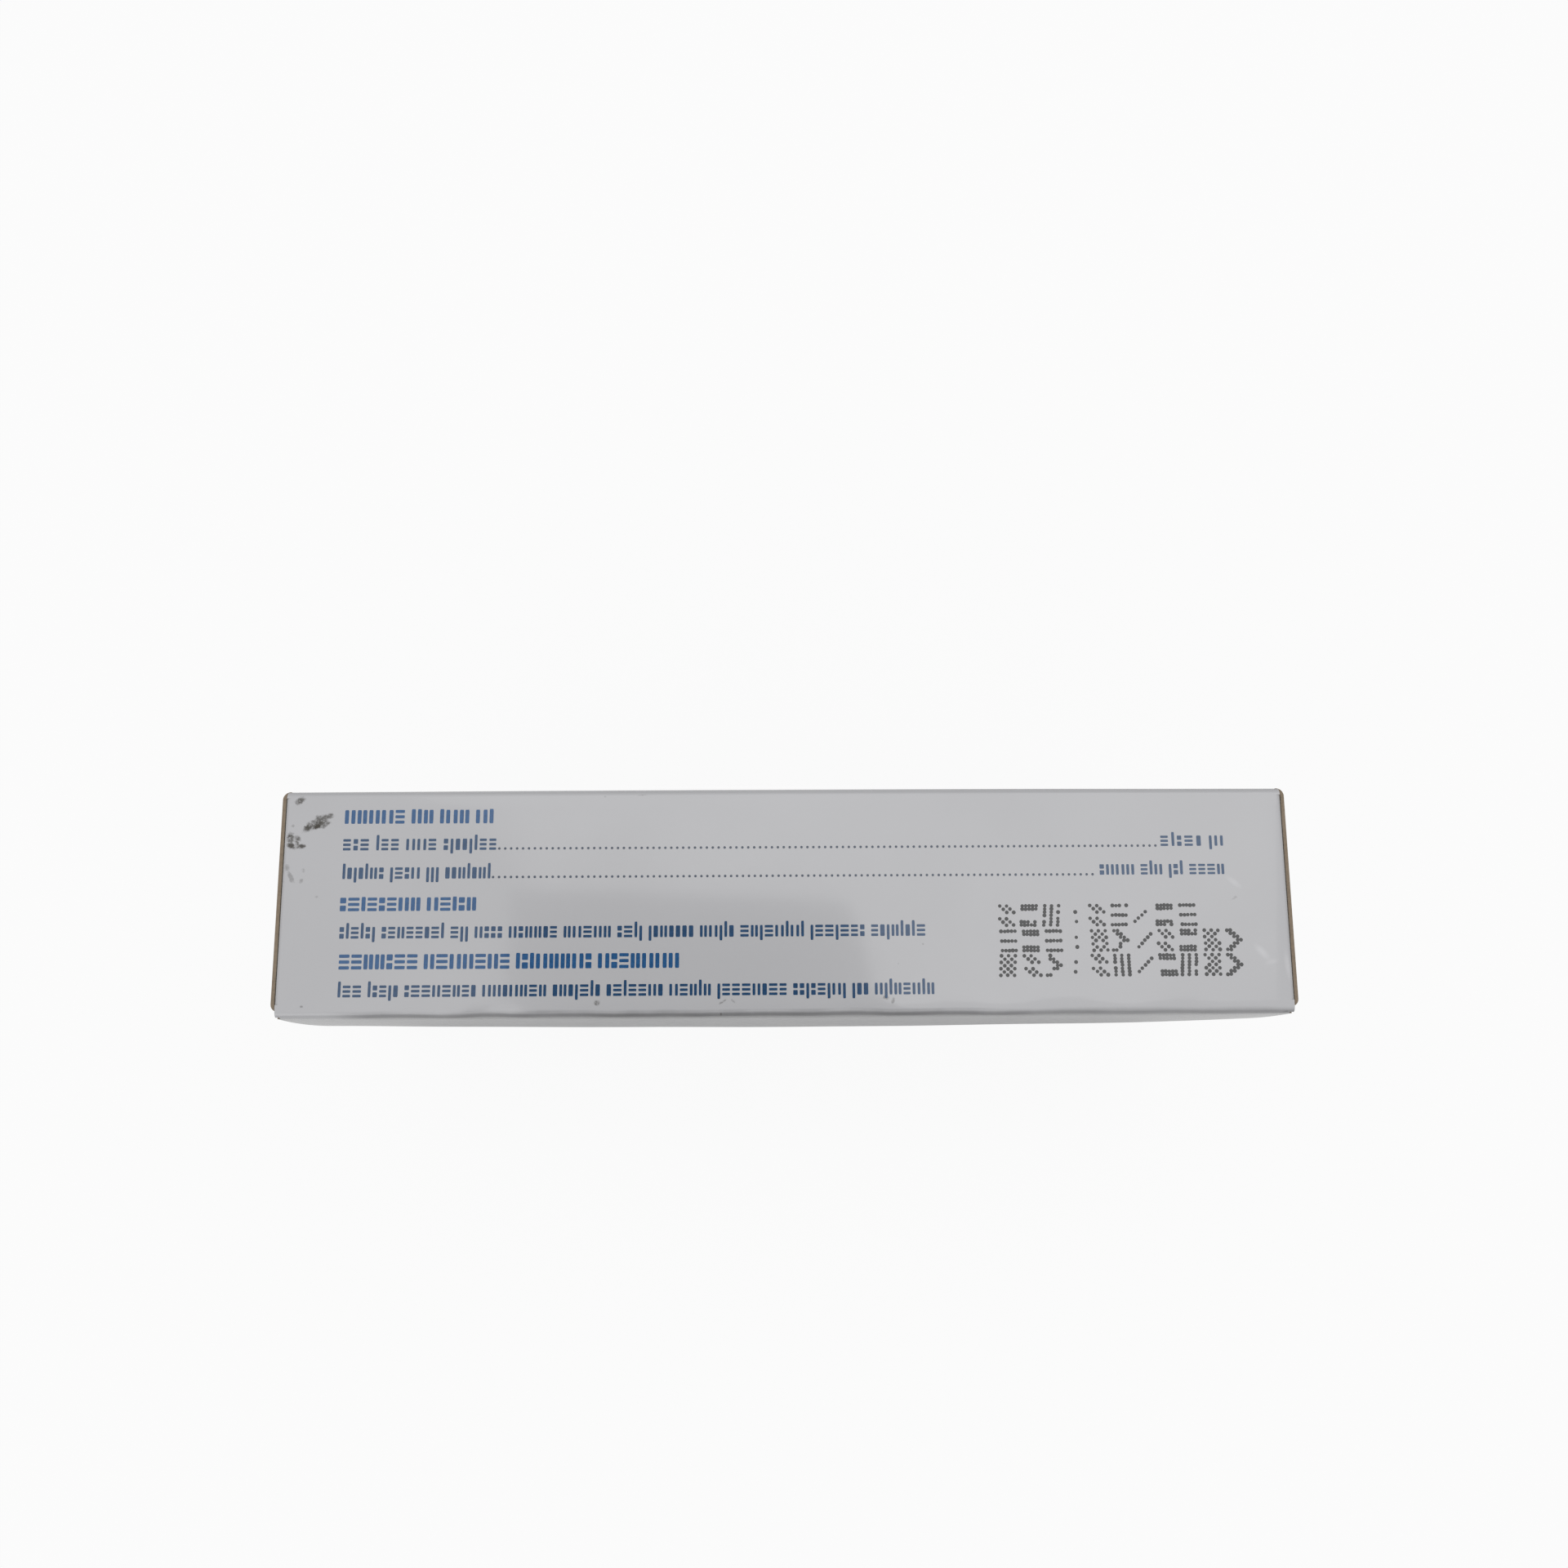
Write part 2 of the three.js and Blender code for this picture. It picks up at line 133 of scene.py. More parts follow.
class PackSettings(bpy.types.PropertyGroup):
    sheet: millimetres("Tray sheet", "Thickness of the formed clear sheet, mm", 0.25)
    tablet: millimetres("Tablet", "Diameter of a tablet, mm", 13.0)
    thickness: millimetres("Tablet thickness", "Over both crowns, mm", 5.7)
    crown: millimetres("Tablet crown", "Height of one crown, mm", 1.2)
    score_width: millimetres("Break line width", "Width of the break line at the crown, mm", 1.1)
    score_depth: millimetres("Break line depth", "Depth of the break line at the crown, mm", 0.6)
    side_room: millimetres("Side room", "Room round a tablet in its pocket, mm", 0.35)
    end_room: millimetres("End room", "Room over and under a tablet, mm", 0.25)
    draft: millimetres("Draft", "How much wider a pocket is at its mouth, mm", 0.8)
    pocket_round: millimetres("Pocket round", "Radius round the closed end of a pocket, mm", 1.3)
    tray_corner: millimetres("Tray corner", "Radius of a card's corners, mm", 4.0)
    edge_round: millimetres("Tablet edge", "Radius that a tablet's edges are worn to, mm", 0.09)
    paper: millimetres("Leaflet layer", "Thickness of one layer, mm", 0.22)
    space: millimetres("Leaflet space", "Space between layers, mm", 0.12)
    layers: bpy.props.IntProperty(name="Layers", description="Layers of the folded leaflet", default=8)
    sheet_colour: colour("Clear sheet", "Tint of the formed sheet", (0.93, 0.96, 0.97))
    foil_colour: colour("Foil", "Lidding foil", (0.62, 0.63, 0.64))
    tablet_colour: colour("Tablet white", "Pressed powder", (0.84, 0.82, 0.77))
    paper_colour: colour("Leaflet", "Thin paper", (0.72, 0.71, 0.66))


def settings():
    """The board's, the print's and the pack's sizes and colours."""
    scene = bpy.context.scene
    return scene.carton_board, scene.carton_print, scene.carton_pack


# Helpers for modelling


def start_clean():
    """Ends edit mode, with nothing selected."""
    if bpy.context.object and bpy.context.object.mode != "OBJECT":
        bpy.ops.object.mode_set(mode="OBJECT")
    bpy.ops.object.select_all(action="DESELECT")


def choose(piece):
    """Makes the piece the one selected object and the active one."""
    start_clean()
    piece.select_set(True)
    bpy.context.view_layer.objects.active = piece


def edit(piece):
    """Opens the piece in edit mode."""
    choose(piece)
    bpy.ops.object.mode_set(mode="EDIT")


def pick(kind, test):
    """Selects, in edit mode, each face, edge or vertex that passes the test, and nothing else."""
    bpy.ops.mesh.select_mode(type=kind)
    bpy.ops.mesh.select_all(action="DESELECT")
    mesh = bmesh.from_edit_mesh(bpy.context.object.data)
    items = {"VERT": mesh.verts, "EDGE": mesh.edges, "FACE": mesh.faces}[kind]
    for item in items:
        if test(item):
            item.select_set(True)
    mesh.select_flush_mode()
    bmesh.update_edit_mesh(bpy.context.object.data)


def middle(edge):
    """The middle of an edge."""
    return (edge.verts[0].co + edge.verts[1].co) / 2


def runs(edge, axis):
    """Whether an edge runs along axis 0, 1 or 2."""
    span = edge.verts[1].co - edge.verts[0].co
    return abs(span[axis]) > 0.999 * span.length


def near(a, b, room=1e-6):
    """Whether two lengths are the same but for rounding."""
    return abs(a - b) < room


def settle(piece, name):
    """Ends edit mode and puts the piece's place into its mesh."""
    choose(piece)
    bpy.ops.object.transform_apply(location=True, rotation=True, scale=True)
    piece.name = name
    piece.data.name = name
    return piece


def harden(piece):
    """Applies the piece's modifiers in order."""
    choose(piece)
    for modifier in list(piece.modifiers):
        bpy.ops.object.modifier_apply(modifier=modifier.name)


def smooth(piece, degrees=30):
    """Shades the piece smooth, but for edges sharper than the angle."""
    choose(piece)
    bpy.ops.object.shade_smooth_by_angle(angle=math.radians(degrees))


def join(name, pieces):
    """Joins pieces into one object."""
    start_clean()
    for piece in pieces:
        piece.select_set(True)
    bpy.context.view_layer.objects.active = pieces[0]
    if len(pieces) > 1:
        bpy.ops.object.join()
    return settle(bpy.context.view_layer.objects.active, name)


def spin(steps, angle, centre, axis):
    """Sweeps what is selected about an axis, a positive angle turning right-handed about it."""
    bpy.ops.mesh.spin(steps=steps, angle=-angle, center=centre, axis=axis)


def draw_out(shift):
    """Extrudes the selected edges by a shift, and leaves the new edges selected."""
    bpy.ops.mesh.extrude_edges_move(TRANSFORM_OT_translate={"value": shift})


def plane(name, location, turn, width, length):
    """A flat rectangle, its width along its own X, turned and put in place."""
    start_clean()
    bpy.ops.mesh.primitive_plane_add(size=1, location=location, rotation=turn)
    bpy.context.object.scale = (width, length, 1)
    return settle(bpy.context.object, name)


def copy_of(piece, name, shift):
    """A copy of the piece with the shift in its mesh."""
    made = piece.copy()
    made.data = piece.data.copy()
    made.name = name
    made.data.name = name
    made.data.transform(made.matrix_world)
    made.data.transform(translation(shift))
    made.matrix_world = translation((0, 0, 0))
    bpy.context.scene.collection.objects.link(made)
    return made


def translation(shift):
    """The matrix that moves a point by a shift."""
    return Matrix.Translation(Vector(shift))


def cut_with(piece, tool, operation):
    """Joins or cuts the piece with another solid, which is used up."""
    modifier = piece.modifiers.new("cut", "BOOLEAN")
    modifier.operation = operation
    modifier.solver = "EXACT"
    modifier.object = tool
    harden(piece)
    bpy.data.objects.remove(tool)


def wall(piece, thickness, inner=0, rim=0):
    """Gives a sheet its thickness, inwards from its printed side."""
    modifier = piece.modifiers.new("board", "SOLIDIFY")
    modifier.thickness = thickness
    modifier.offset = -1
    modifier.use_even_offset = True
    modifier.material_offset = inner
    modifier.material_offset_rim = rim
    harden(piece)


def turn_outwards(piece, test):
    """Makes the faces agree, then turns them all if they look the wrong way.

    The test gives the direction that a face should look in, or None where any will do.
    """
    edit(piece)
    bpy.ops.mesh.select_all(action="SELECT")
    bpy.ops.mesh.remove_doubles(threshold=1e-7)
    bpy.ops.mesh.normals_make_consistent(inside=False)
    mesh = bmesh.from_edit_mesh(piece.data)
    agree = sum(face.normal.dot(test(face)) for face in mesh.faces if test(face) is not None)
    if agree < 0:
        bpy.ops.mesh.select_all(action="SELECT")
        bpy.ops.mesh.flip_normals()
    start_clean()


# Materials


def new_material(name):
    """A material with its nodes, links and shader, and the place in the object's own frame."""
    material = bpy.data.materials.new(name)
    material.use_nodes = True
    nodes = material.node_tree.nodes
    links = material.node_tree.links
    shader = nodes["Principled BSDF"]
    place = nodes.new("ShaderNodeTexCoord")
    return material, nodes, links, shader, place.outputs["Object"]


def noise(nodes, links, place, scale, detail=3.0, roughness=0.55):
    """Soft noise from 0 to 1. The scale is in waves to the metre."""
    made = nodes.new("ShaderNodeTexNoise")
    made.inputs["Scale"].default_value = scale
    made.inputs["Detail"].default_value = detail
    made.inputs["Roughness"].default_value = roughness
    links.new(place, made.inputs["Vector"])
    return made.outputs["Fac"]


def ramp(nodes, links, value, low, high, low_to=0.0, high_to=1.0):
    """A smooth step from one level at low to another at high."""
    made = nodes.new("ShaderNodeMapRange")
    made.interpolation_type = "SMOOTHSTEP"
    for label, number in (("From Min", low), ("From Max", high), ("To Min", low_to), ("To Max", high_to)):
        made.inputs[label].default_value = number
    links.new(value, made.inputs["Value"])
    return made.outputs["Result"]


def math_node(nodes, links, operation, first, second=0):
    """One calculation on one or two values or sockets."""
    made = nodes.new("ShaderNodeMath")
    made.operation = operation
    for i, value in enumerate((first, second)):
        if isinstance(value, (int, float)):
            made.inputs[i].default_value = value
        else:
            links.new(value, made.inputs[i])
    return made.outputs[0]


def plus(nodes, links, first, second):
    """Two values or sockets added."""
    return math_node(nodes, links, "ADD", first, second)


def times(nodes, links, first, second):
    """Two values or sockets multiplied."""
    return math_node(nodes, links, "MULTIPLY", first, second)


def larger(nodes, links, first, second):
    """The larger of two values or sockets."""
    return math_node(nodes, links, "MAXIMUM", first, second)


def shade(tint, share):
    """The tint made lighter or darker by one share."""
    return tuple(share * c for c in tint)


def mixed(nodes, links, share, first, second):
    """The first colour where the share is 0, the second where it is 1."""
    made = nodes.new("ShaderNodeMix")
    made.data_type = "RGBA"
    links.new(share, made.inputs["Factor"])
    for label, value in (("A", first), ("B", second)):
        socket = next(s for s in made.inputs if s.name == label and s.type == "RGBA")
        if isinstance(value, tuple):
            socket.default_value = (*value, 1.0)
        else:
            links.new(value, socket)
    return next(s for s in made.outputs if s.type == "RGBA")


def bump(nodes, links, shader, height, strength, distance):
    """Fine relief. The distance is its height in metres."""
    made = nodes.new("ShaderNodeBump")
    made.inputs["Strength"].default_value = strength
    made.inputs["Distance"].default_value = distance
    links.new(height, made.inputs["Height"])
    links.new(made.outputs["Normal"], shader.inputs["Normal"])


def varnish(shader):
    """The clear gloss varnish over the printed side."""
    shader.inputs["Coat Weight"].default_value = 0.9
    shader.inputs["Coat Roughness"].default_value = 0.08


def patch(nodes, links, place, centre, size, turn=0.0):
    """A soft oval patch: 1 at its centre and 0 past its rim.

    Its size is three half widths, and its turn is in degrees.
    """
    shifted = nodes.new("ShaderNodeMapping")
    shifted.vector_type = "TEXTURE"
    shifted.inputs["Location"].default_value = centre
    shifted.inputs["Rotation"].default_value = (0, 0, math.radians(turn))
    shifted.inputs["Scale"].default_value = size
    links.new(place, shifted.inputs["Vector"])
    length = nodes.new("ShaderNodeVectorMath")
    length.operation = "LENGTH"
    links.new(shifted.outputs["Vector"], length.inputs[0])
    return ramp(nodes, links, length.outputs["Value"], 0.1, 1.0, 1.0, 0.0)


# Dirt marks on the upper narrow side, and one painted shade of a wrinkle: x, y, half width along x and along
# y in mm, turn in degrees, strength, cover
SMUDGES_AND_WRINKLE_SHADE = (
    (-53.1, 9.2, 2.7, 1.55, 22, 0.95, 0.72),
    (-54.3, 8.5, 1.6, 0.8, 30, 0.95, 0.74),
    (-53.3, 8.7, 1.2, 0.6, 20, 1.0, 0.82),
    (-52.1, 9.85, 2.0, 0.8, 12, 0.85, 0.66),
    (-52.4, 8.9, 1.6, 0.75, 30, 0.8, 0.68),
    (-55.3, 11.7, 1.4, 0.85, 32, 0.85, 0.72),
    (-56.2, 7.4, 0.95, 1.4, 8, 0.95, 0.74),
    (-56.05, 6.5, 1.2, 0.8, -20, 0.95, 0.74),
    (-54.95, 6.4, 1.2, 0.6, 10, 0.95, 0.74),
    (-55.45, 6.8, 0.6, 0.9, 30, 0.85, 0.7),
    (-55.5, 7.35, 1.1, 0.8, -30, 0.85, 0.66),
    (-56.0, 8.8, 0.5, 0.4, 0, 0.35, 0.66),
    (-56.4, 4.0, 0.8, 1.0, 12, 0.4, 0.66),
    (-55.95, 2.95, 0.6, 1.8, 30, 0.42, 0.7),
    (-54.5, 3.7, 0.55, 0.7, 0, 0.38, 0.62),
    (-54.7, 2.5, 0.55, 0.6, 0, 0.44, 0.66),
    (-52.9, 0.7, 0.5, 0.35, 0, 0.3, 0.6),
    (-53.9, -11.5, 0.42, 0.32, 0, 0.55, 0.66),
    (-21.1, -11.3, 0.8, 0.85, 20, 0.7, 0.64),
    (-7.1, -11.2, 1.1, 0.35, 35, 0.6, 0.64),
    (-6.0, -11.1, 0.8, 0.35, -40, 0.55, 0.62),
    (11.1, -10.85, 0.95, 0.5, -10, 0.6, 0.64),
    (11.9, -11.2, 0.45, 0.9, -20, 0.6, 0.64),
    (15.4, -4.95, 0.35, 0.3, 0, 0.4, 0.6),
    (12.6, -7.1, 0.3, 0.3, 0, 0.32, 0.6),
    (-16.5, 12.15, 2.0, 0.22, 4, 0.5, 0.52),
    (-20.6, 12.0, 0.5, 0.3, 0, 0.25, 0.5),
    # Painted shade: the dark side of a faint wrinkle beside the pale streak at 50.9, 1.9
    (50.9, 0.1, 1.0, 0.4, 30, 0.3, 0.62),
    (55.9, -12.6, 1.1, 0.3, 8, 0.4, 0.6),
    (-7.3, -12.6, 0.2, 0.4, 0, 0.9, 0.8),
)
# Painted highlights, pale streaks on the creases beside the right end: as above, with a strength alone
CREASE_HIGHLIGHTS = (
    (53.6, -6.0, 1.5, 0.6, -48, 0.85),
    (54.6, -7.1, 1.2, 0.45, 15, 0.5),
    (56.4, -7.6, 0.5, 2.2, 6, 0.75),
    (50.9, 1.9, 1.4, 0.5, -38, 0.7),
)
# How much a smudge's own form counts beside the grain, the level at which it shows, and the soft step there
SMUDGE_FORM = 0.45
SMUDGE_LEVEL = 1.16
SMUDGE_STEP = (-0.1, 0.15)
# The painted shade along the front's upper fold, in mm: how far it wanders, where it begins, and the place
# round which it is heaviest
SHADE_SLOW_WANDER = 1.1
SHADE_QUICK_WANDER = 0.25
SHADE_BEGINS = (-52, -46)
SHADE_MIDDLE = -6


def mark_patch(nodes, links, place, x, y, wide, high, turn):
    """A soft oval on the upper narrow side, its sizes in mm."""
    return patch(nodes, links, place, (x * MM, y * MM, DEPTH), (wide * MM, high * MM, 3 * MM), turn)


def fold_shade_line(nodes, links, place):
    """Painted shade along the front's upper fold: 1 on the line, wandering and fading as it goes."""
    axes = nodes.new("ShaderNodeSeparateXYZ")
    links.new(place, axes.inputs["Vector"])
    drift = nodes.new("ShaderNodeCombineXYZ")
    links.new(axes.outputs["X"], drift.inputs["X"])
    slow = noise(nodes, links, drift.outputs["Vector"], 62, 2)
    quick = noise(nodes, links, drift.outputs["Vector"], 310, 3)
    drifting = times(nodes, links, slow, SHADE_SLOW_WANDER * MM)
    wander = plus(nodes, links, drifting, times(nodes, links, quick, SHADE_QUICK_WANDER * MM))
    inward = plus(nodes, links, axes.outputs["Y"], wander)
    upper = ramp(nodes, links, inward, -HALF_THICKNESS + 0.7 * MM, -HALF_THICKNESS + 1.5 * MM, 1.0, 0.0)
    hanging = math_node(nodes, links, "SUBTRACT", axes.outputs["Z"], wander)
    lower = ramp(nodes, links, hanging, DEPTH - 3.2 * MM, DEPTH - 1.8 * MM)
    first, full = SHADE_BEGINS
    begins = ramp(nodes, links, axes.outputs["X"], first * MM, full * MM)
    from_middle = plus(nodes, links, axes.outputs["X"], -SHADE_MIDDLE * MM)
    heavier = ramp(nodes, links, math_node(nodes, links, "ABSOLUTE", from_middle), 8 * MM, 58 * MM, 1.0, 0.55)
    fades = ramp(nodes, links, slow, 0.25, 0.6, 0.6, 1.0)
    line = times(nodes, links, upper, lower)
    for share in (begins, heavier, fades):
        line = times(nodes, links, line, share)
    return line


def coated_board(board):
    """Glossy coated white, with faint mottle, dirt on the upper narrow side, painted highlights on the
    creases by its right end and painted shade along the front fold.
    """
    material, nodes, links, shader, place = new_material("coated_board")
    mottle = ramp(nodes, links, noise(nodes, links, place, 38, 4), 0.3, 0.7)
    white = tuple(board.coated)
    base = mixed(nodes, links, mottle, white, shade(white, 0.965))
    grain = noise(nodes, links, place, 1300, 6, 0.75)
    speckle = noise(nodes, links, place, 3600, 4, 0.7)
    level = plus(nodes, links, times(nodes, links, grain, 0.7), times(nodes, links, speckle, 0.3))
    dirt = None
    for x, y, wide, high, turn, strength, cover in SMUDGES_AND_WRINKLE_SHADE:
        soft = mark_patch(nodes, links, place, x, y, wide, high, turn)
        cut = plus(nodes, links, times(nodes, links, soft, SMUDGE_FORM), level)
        low, full = (SMUDGE_LEVEL - cover * SMUDGE_FORM + step for step in SMUDGE_STEP)
        mark = ramp(nodes, links, cut, low, full, 0.0, strength)
        held = times(nodes, links, mark, ramp(nodes, links, soft, 0.02, 0.25))
        dirt = held if dirt is None else larger(nodes, links, dirt, held)
    # Painted highlights: the creases' pale streaks, mixed into the board colour
    for x, y, wide, high, turn, strength in CREASE_HIGHLIGHTS:
        crease_highlight = times(nodes, links, mark_patch(nodes, links, place, x, y, wide, high, turn), strength)
        base = mixed(nodes, links, crease_highlight, base, shade(white, 1.14))
    # Painted shade: a dark line mixed into the board colour along the front's upper fold
    painted_fold_shade = times(nodes, links, fold_shade_line(nodes, links, place), 0.86)
    with_fold_shade = mixed(nodes, links, painted_fold_shade, base, shade(white, 0.12))
    links.new(mixed(nodes, links, dirt, with_fold_shade, tuple(board.dirt)), shader.inputs["Base Color"])
    fibre = noise(nodes, links, place, 420, 3)
    gloss = ramp(nodes, links, mottle, 0.0, 1.0, 0.2, 0.27)
    links.new(larger(nodes, links, gloss, times(nodes, links, dirt, 0.8)), shader.inputs["Roughness"])
    shader.inputs["IOR"].default_value = 1.5
    varnish(shader)
    bump(nodes, links, shader, fibre, 0.1, 0.0001)
    return material


def raw_board(name, tint, strength):
    """Uncoated board: grey-cream fibres."""
    material, nodes, links, shader, place = new_material(name)
    fleck = ramp(nodes, links, noise(nodes, links, place, 1900, 4, 0.7), 0.35, 0.68)
    cloud = ramp(nodes, links, noise(nodes, links, place, 160, 3), 0.3, 0.7)
    base = mixed(nodes, links, fleck, tuple(tint), shade(tint, 0.8))
    cloudy = mixed(nodes, links, times(nodes, links, cloud, 0.35), base, shade(tint, 1.12))
    links.new(cloudy, shader.inputs["Base Color"])
    shader.inputs["Roughness"].default_value = 0.85
    bump(nodes, links, shader, noise(nodes, links, place, 1300, 4, 0.7), strength, 0.0001)
    return material


def ink(name, tint):
    """Offset ink with the board's gloss, slightly broken in its cover."""
    material, nodes, links, shader, place = new_material(name)
    cover = ramp(nodes, links, noise(nodes, links, place, 2200, 3, 0.6), 0.32, 0.7)
    thin = tuple(min(1.0, 1.25 * c + 0.006) for c in tint)
    links.new(mixed(nodes, links, cover, tuple(tint), thin), shader.inputs["Base Color"])
    shader.inputs["Roughness"].default_value = 0.22
    shader.inputs["IOR"].default_value = 1.5
    varnish(shader)
    return material


def clear_sheet(pack):
    """Clear formed plastic with a faint haze."""
    material, nodes, links, shader, place = new_material("clear_sheet")
    haze = ramp(nodes, links, noise(nodes, links, place, 220, 3), 0.3, 0.7, 0.05, 0.13)
    links.new(haze, shader.inputs["Roughness"])
    shader.inputs["Base Color"].default_value = (*pack.sheet_colour, 1.0)
    shader.inputs["Transmission Weight"].default_value = 0.95
    shader.inputs["IOR"].default_value = 1.46
    bump(nodes, links, shader, noise(nodes, links, place, 180, 2), 0.08, 0.0002)
    return material


def foil(pack):
    """Hard aluminium foil with the heat seal's fine knurl and a few soft creases."""
    material, nodes, links, shader, place = new_material("lidding_foil")
    knurl = None
    for direction, turn in (("X", 45), ("Z", 45)):
        turned = nodes.new("ShaderNodeMapping")
        turned.inputs["Rotation"].default_value = (0, math.radians(turn), 0)
        links.new(place, turned.inputs["Vector"])
        wave = nodes.new("ShaderNodeTexWave")
        wave.bands_direction = direction
        wave.inputs["Scale"].default_value = 330
        links.new(turned.outputs["Vector"], wave.inputs["Vector"])
        bands = wave.outputs["Fac"]
        knurl = bands if knurl is None else times(nodes, links, knurl, bands)
    crease = noise(nodes, links, place, 60, 4)
    height = plus(nodes, links, times(nodes, links, knurl, 0.5), crease)
    dull = ramp(nodes, links, crease, 0.3, 0.7, 0.26, 0.42)
    tint = tuple(pack.foil_colour)
    links.new(mixed(nodes, links, knurl, tint, shade(tint, 0.86)), shader.inputs["Base Color"])
    links.new(dull, shader.inputs["Roughness"])
    shader.inputs["Metallic"].default_value = 0.95
    bump(nodes, links, shader, height, 0.35, 0.00012)
    return material


def pressed_powder(pack):
    """Chalky pressed powder, finely flecked."""
    material, nodes, links, shader, place = new_material("pressed_powder")
    grain = noise(nodes, links, place, 2400, 5, 0.7)
    fleck = ramp(nodes, links, grain, 0.34, 0.7)
    tint = tuple(pack.tablet_colour)
    links.new(mixed(nodes, links, fleck, tint, shade(tint, 0.93)), shader.inputs["Base Color"])
    shader.inputs["Roughness"].default_value = 0.78
    bump(nodes, links, shader, grain, 0.3, 0.00015)
    return material


# The leaflet's rows of marks: pitch and how far they reach from the middle, in mm, and their grey
ROW_PITCH = 1.7
ROW_REACH = 43
ROW_GREY = (0.1, 0.1, 0.11)


def thin_paper(pack):
    """Thin leaflet paper with rows of small grey marks, broken like lines of fine print."""
    material, nodes, links, shader, place = new_material("leaflet_paper")
    fibre = noise(nodes, links, place, 1500, 4, 0.7)
    axes = nodes.new("ShaderNodeSeparateXYZ")
    links.new(place, axes.inputs["Vector"])
    rows = math_node(nodes, links, "DIVIDE", axes.outputs["Z"], ROW_PITCH * MM)
    row = math_node(nodes, links, "FLOOR", rows)
    height = math_node(nodes, links, "FRACT", rows)
    cell = nodes.new("ShaderNodeCombineXYZ")
    links.new(axes.outputs["X"], cell.inputs["X"])
    links.new(times(nodes, links, row, 0.37), cell.inputs["Y"])
    words = ramp(nodes, links, noise(nodes, links, cell.outputs["Vector"], 330, 2, 0.7), 0.44, 0.47)
    stems = ramp(nodes, links, noise(nodes, links, cell.outputs["Vector"], 1500, 1), 0.3, 0.6, 0.35, 1.0)
    above_foot = ramp(nodes, links, height, 0.2, 0.28)
    below_head = ramp(nodes, links, height, 0.56, 0.64, 1.0, 0.0)
    across = math_node(nodes, links, "ABSOLUTE", axes.outputs["X"])
    show = ramp(nodes, links, across, ROW_REACH * MM, (ROW_REACH + 0.4) * MM, 1.0, 0.0)
    for share in (words, stems, above_foot, below_head):
        show = times(nodes, links, show, share)
    tint = tuple(pack.paper_colour)
    clean = mixed(nodes, links, ramp(nodes, links, fibre, 0.3, 0.7), tint, shade(tint, 0.94))
    marked = mixed(nodes, links, times(nodes, links, show, 0.7), clean, ROW_GREY)
    links.new(marked, shader.inputs["Base Color"])
    shader.inputs["Roughness"].default_value = 0.9
    bump(nodes, links, shader, fibre, 0.25, 0.0001)
    return material


# The carton's own form

# The front panel's bow: its share at the ends, where the tabs spring it out, what its middle adds,
# where its tired right end begins in mm, and what that end loses
FRONT_BOW_ENDS = 0.66
FRONT_BOW_MIDDLE = 0.29
TIRED_FROM = 38
TIRED_LOSS = 0.2
# How far a closure's face is hollow, and the flat lap at each side of its crease, in mm
CLOSURE_HOLLOW = 0.12
CREASE_LAP = 0.02


def hump(x, z, front=False):
    """How far a large panel bows out at a place."""
    along = max(0.0, 1 - (x / HALF_LENGTH) ** 2)
    if front:
        tired = max(0.0, (x - TIRED_FROM * MM) / (HALF_LENGTH - TIRED_FROM * MM))
        along = FRONT_BOW_ENDS + FRONT_BOW_MIDDLE * along - TIRED_LOSS * tired**2
    across = max(0.0, 1 - abs(2 * z / DEPTH - 1) ** 2.6)
    return BULGE * along * across


def ripple(u, v, phase):
    """Slow waves of a pressed sheet, from -1 to 1."""
    first = math.sin(2 * math.pi * (u / 0.047 + 0.3 * v / 0.02) + phase)
    second = math.sin(2 * math.pi * (u / 0.021 - 0.5 * v / 0.026) + 2.3 * phase + 1.1)
    third = math.cos(2 * math.pi * (u / 0.083 + v / 0.06) + 0.7 * phase)
    return (first + 0.6 * second + 0.9 * third) / 2.5


# Small dents along the front's upper fold: x in mm, half width in mm, share of the depth
FOLD_DENTS = (
    (-43, 5, 0.5),
    (-33, 4, 0.9),
    (-23, 5, 0.35),
    (-7.3, 1.1, 1.0),
    (-2, 6, 0.6),
    (7, 5, 0.9),
    (19, 6, 0.55),
    (31, 7, 1.0),
    (44, 5, 0.6),
)


def fold_dent(x):
    """The dents' depth at a place along the fold, as a share."""
    depth = 0
    for middle_mm, half, share in FOLD_DENTS:
        away = (x / MM - middle_mm) / half
        if abs(away) < 1:
            depth += share * (1 + math.cos(math.pi * away)) / 2
    return depth


def top_level(x, y, board):
    """Height of the upper narrow side's waves over its flat level."""
    across = max(0.0, 1 - (y / (HALF_THICKNESS - 0.2 * MM)) ** 4)
    along = max(0.0, 1 - (x / (HALF_LENGTH - 0.5 * MM)) ** 6)
    return -board.wave * MM * (0.55 - 0.45 * ripple(x, y, 0.6)) * across * along


def pressed(co, board):
    """A point of the smooth sleeve, moved to where the used carton has it."""
    x, y, z = co
    share = y / HALF_THICKNESS
    on_large_panel = abs(share) > 0.9
    moved = Vector((x, y + share * hump(x, z, share < 0), z))
    if on_large_panel:
        inner = max(0.0, 1 - (2 * z / DEPTH - 1) ** 6) * max(0.0, 1 - (x / HALF_LENGTH) ** 8)
        hollow = board.wave * MM * 1.6 * (0.5 + 0.5 * ripple(x, z, 1.9 + share)) * inner
        moved.y -= math.copysign(hollow, y)
    else:
        moved.z += top_level(x, y, board) * (1 if z > DEPTH / 2 else -0.6)
    front = max(0.0, 1 - abs(y + HALF_THICKNESS) / (1.6 * MM))
    upper = max(0.0, 1 - abs(z - DEPTH) / (2.6 * MM))
    push = board.dent * MM * fold_dent(x) * min(1.0, 1.5 * front) * upper
    moved.z -= 0.7 * push
    moved.y += push
    return moved


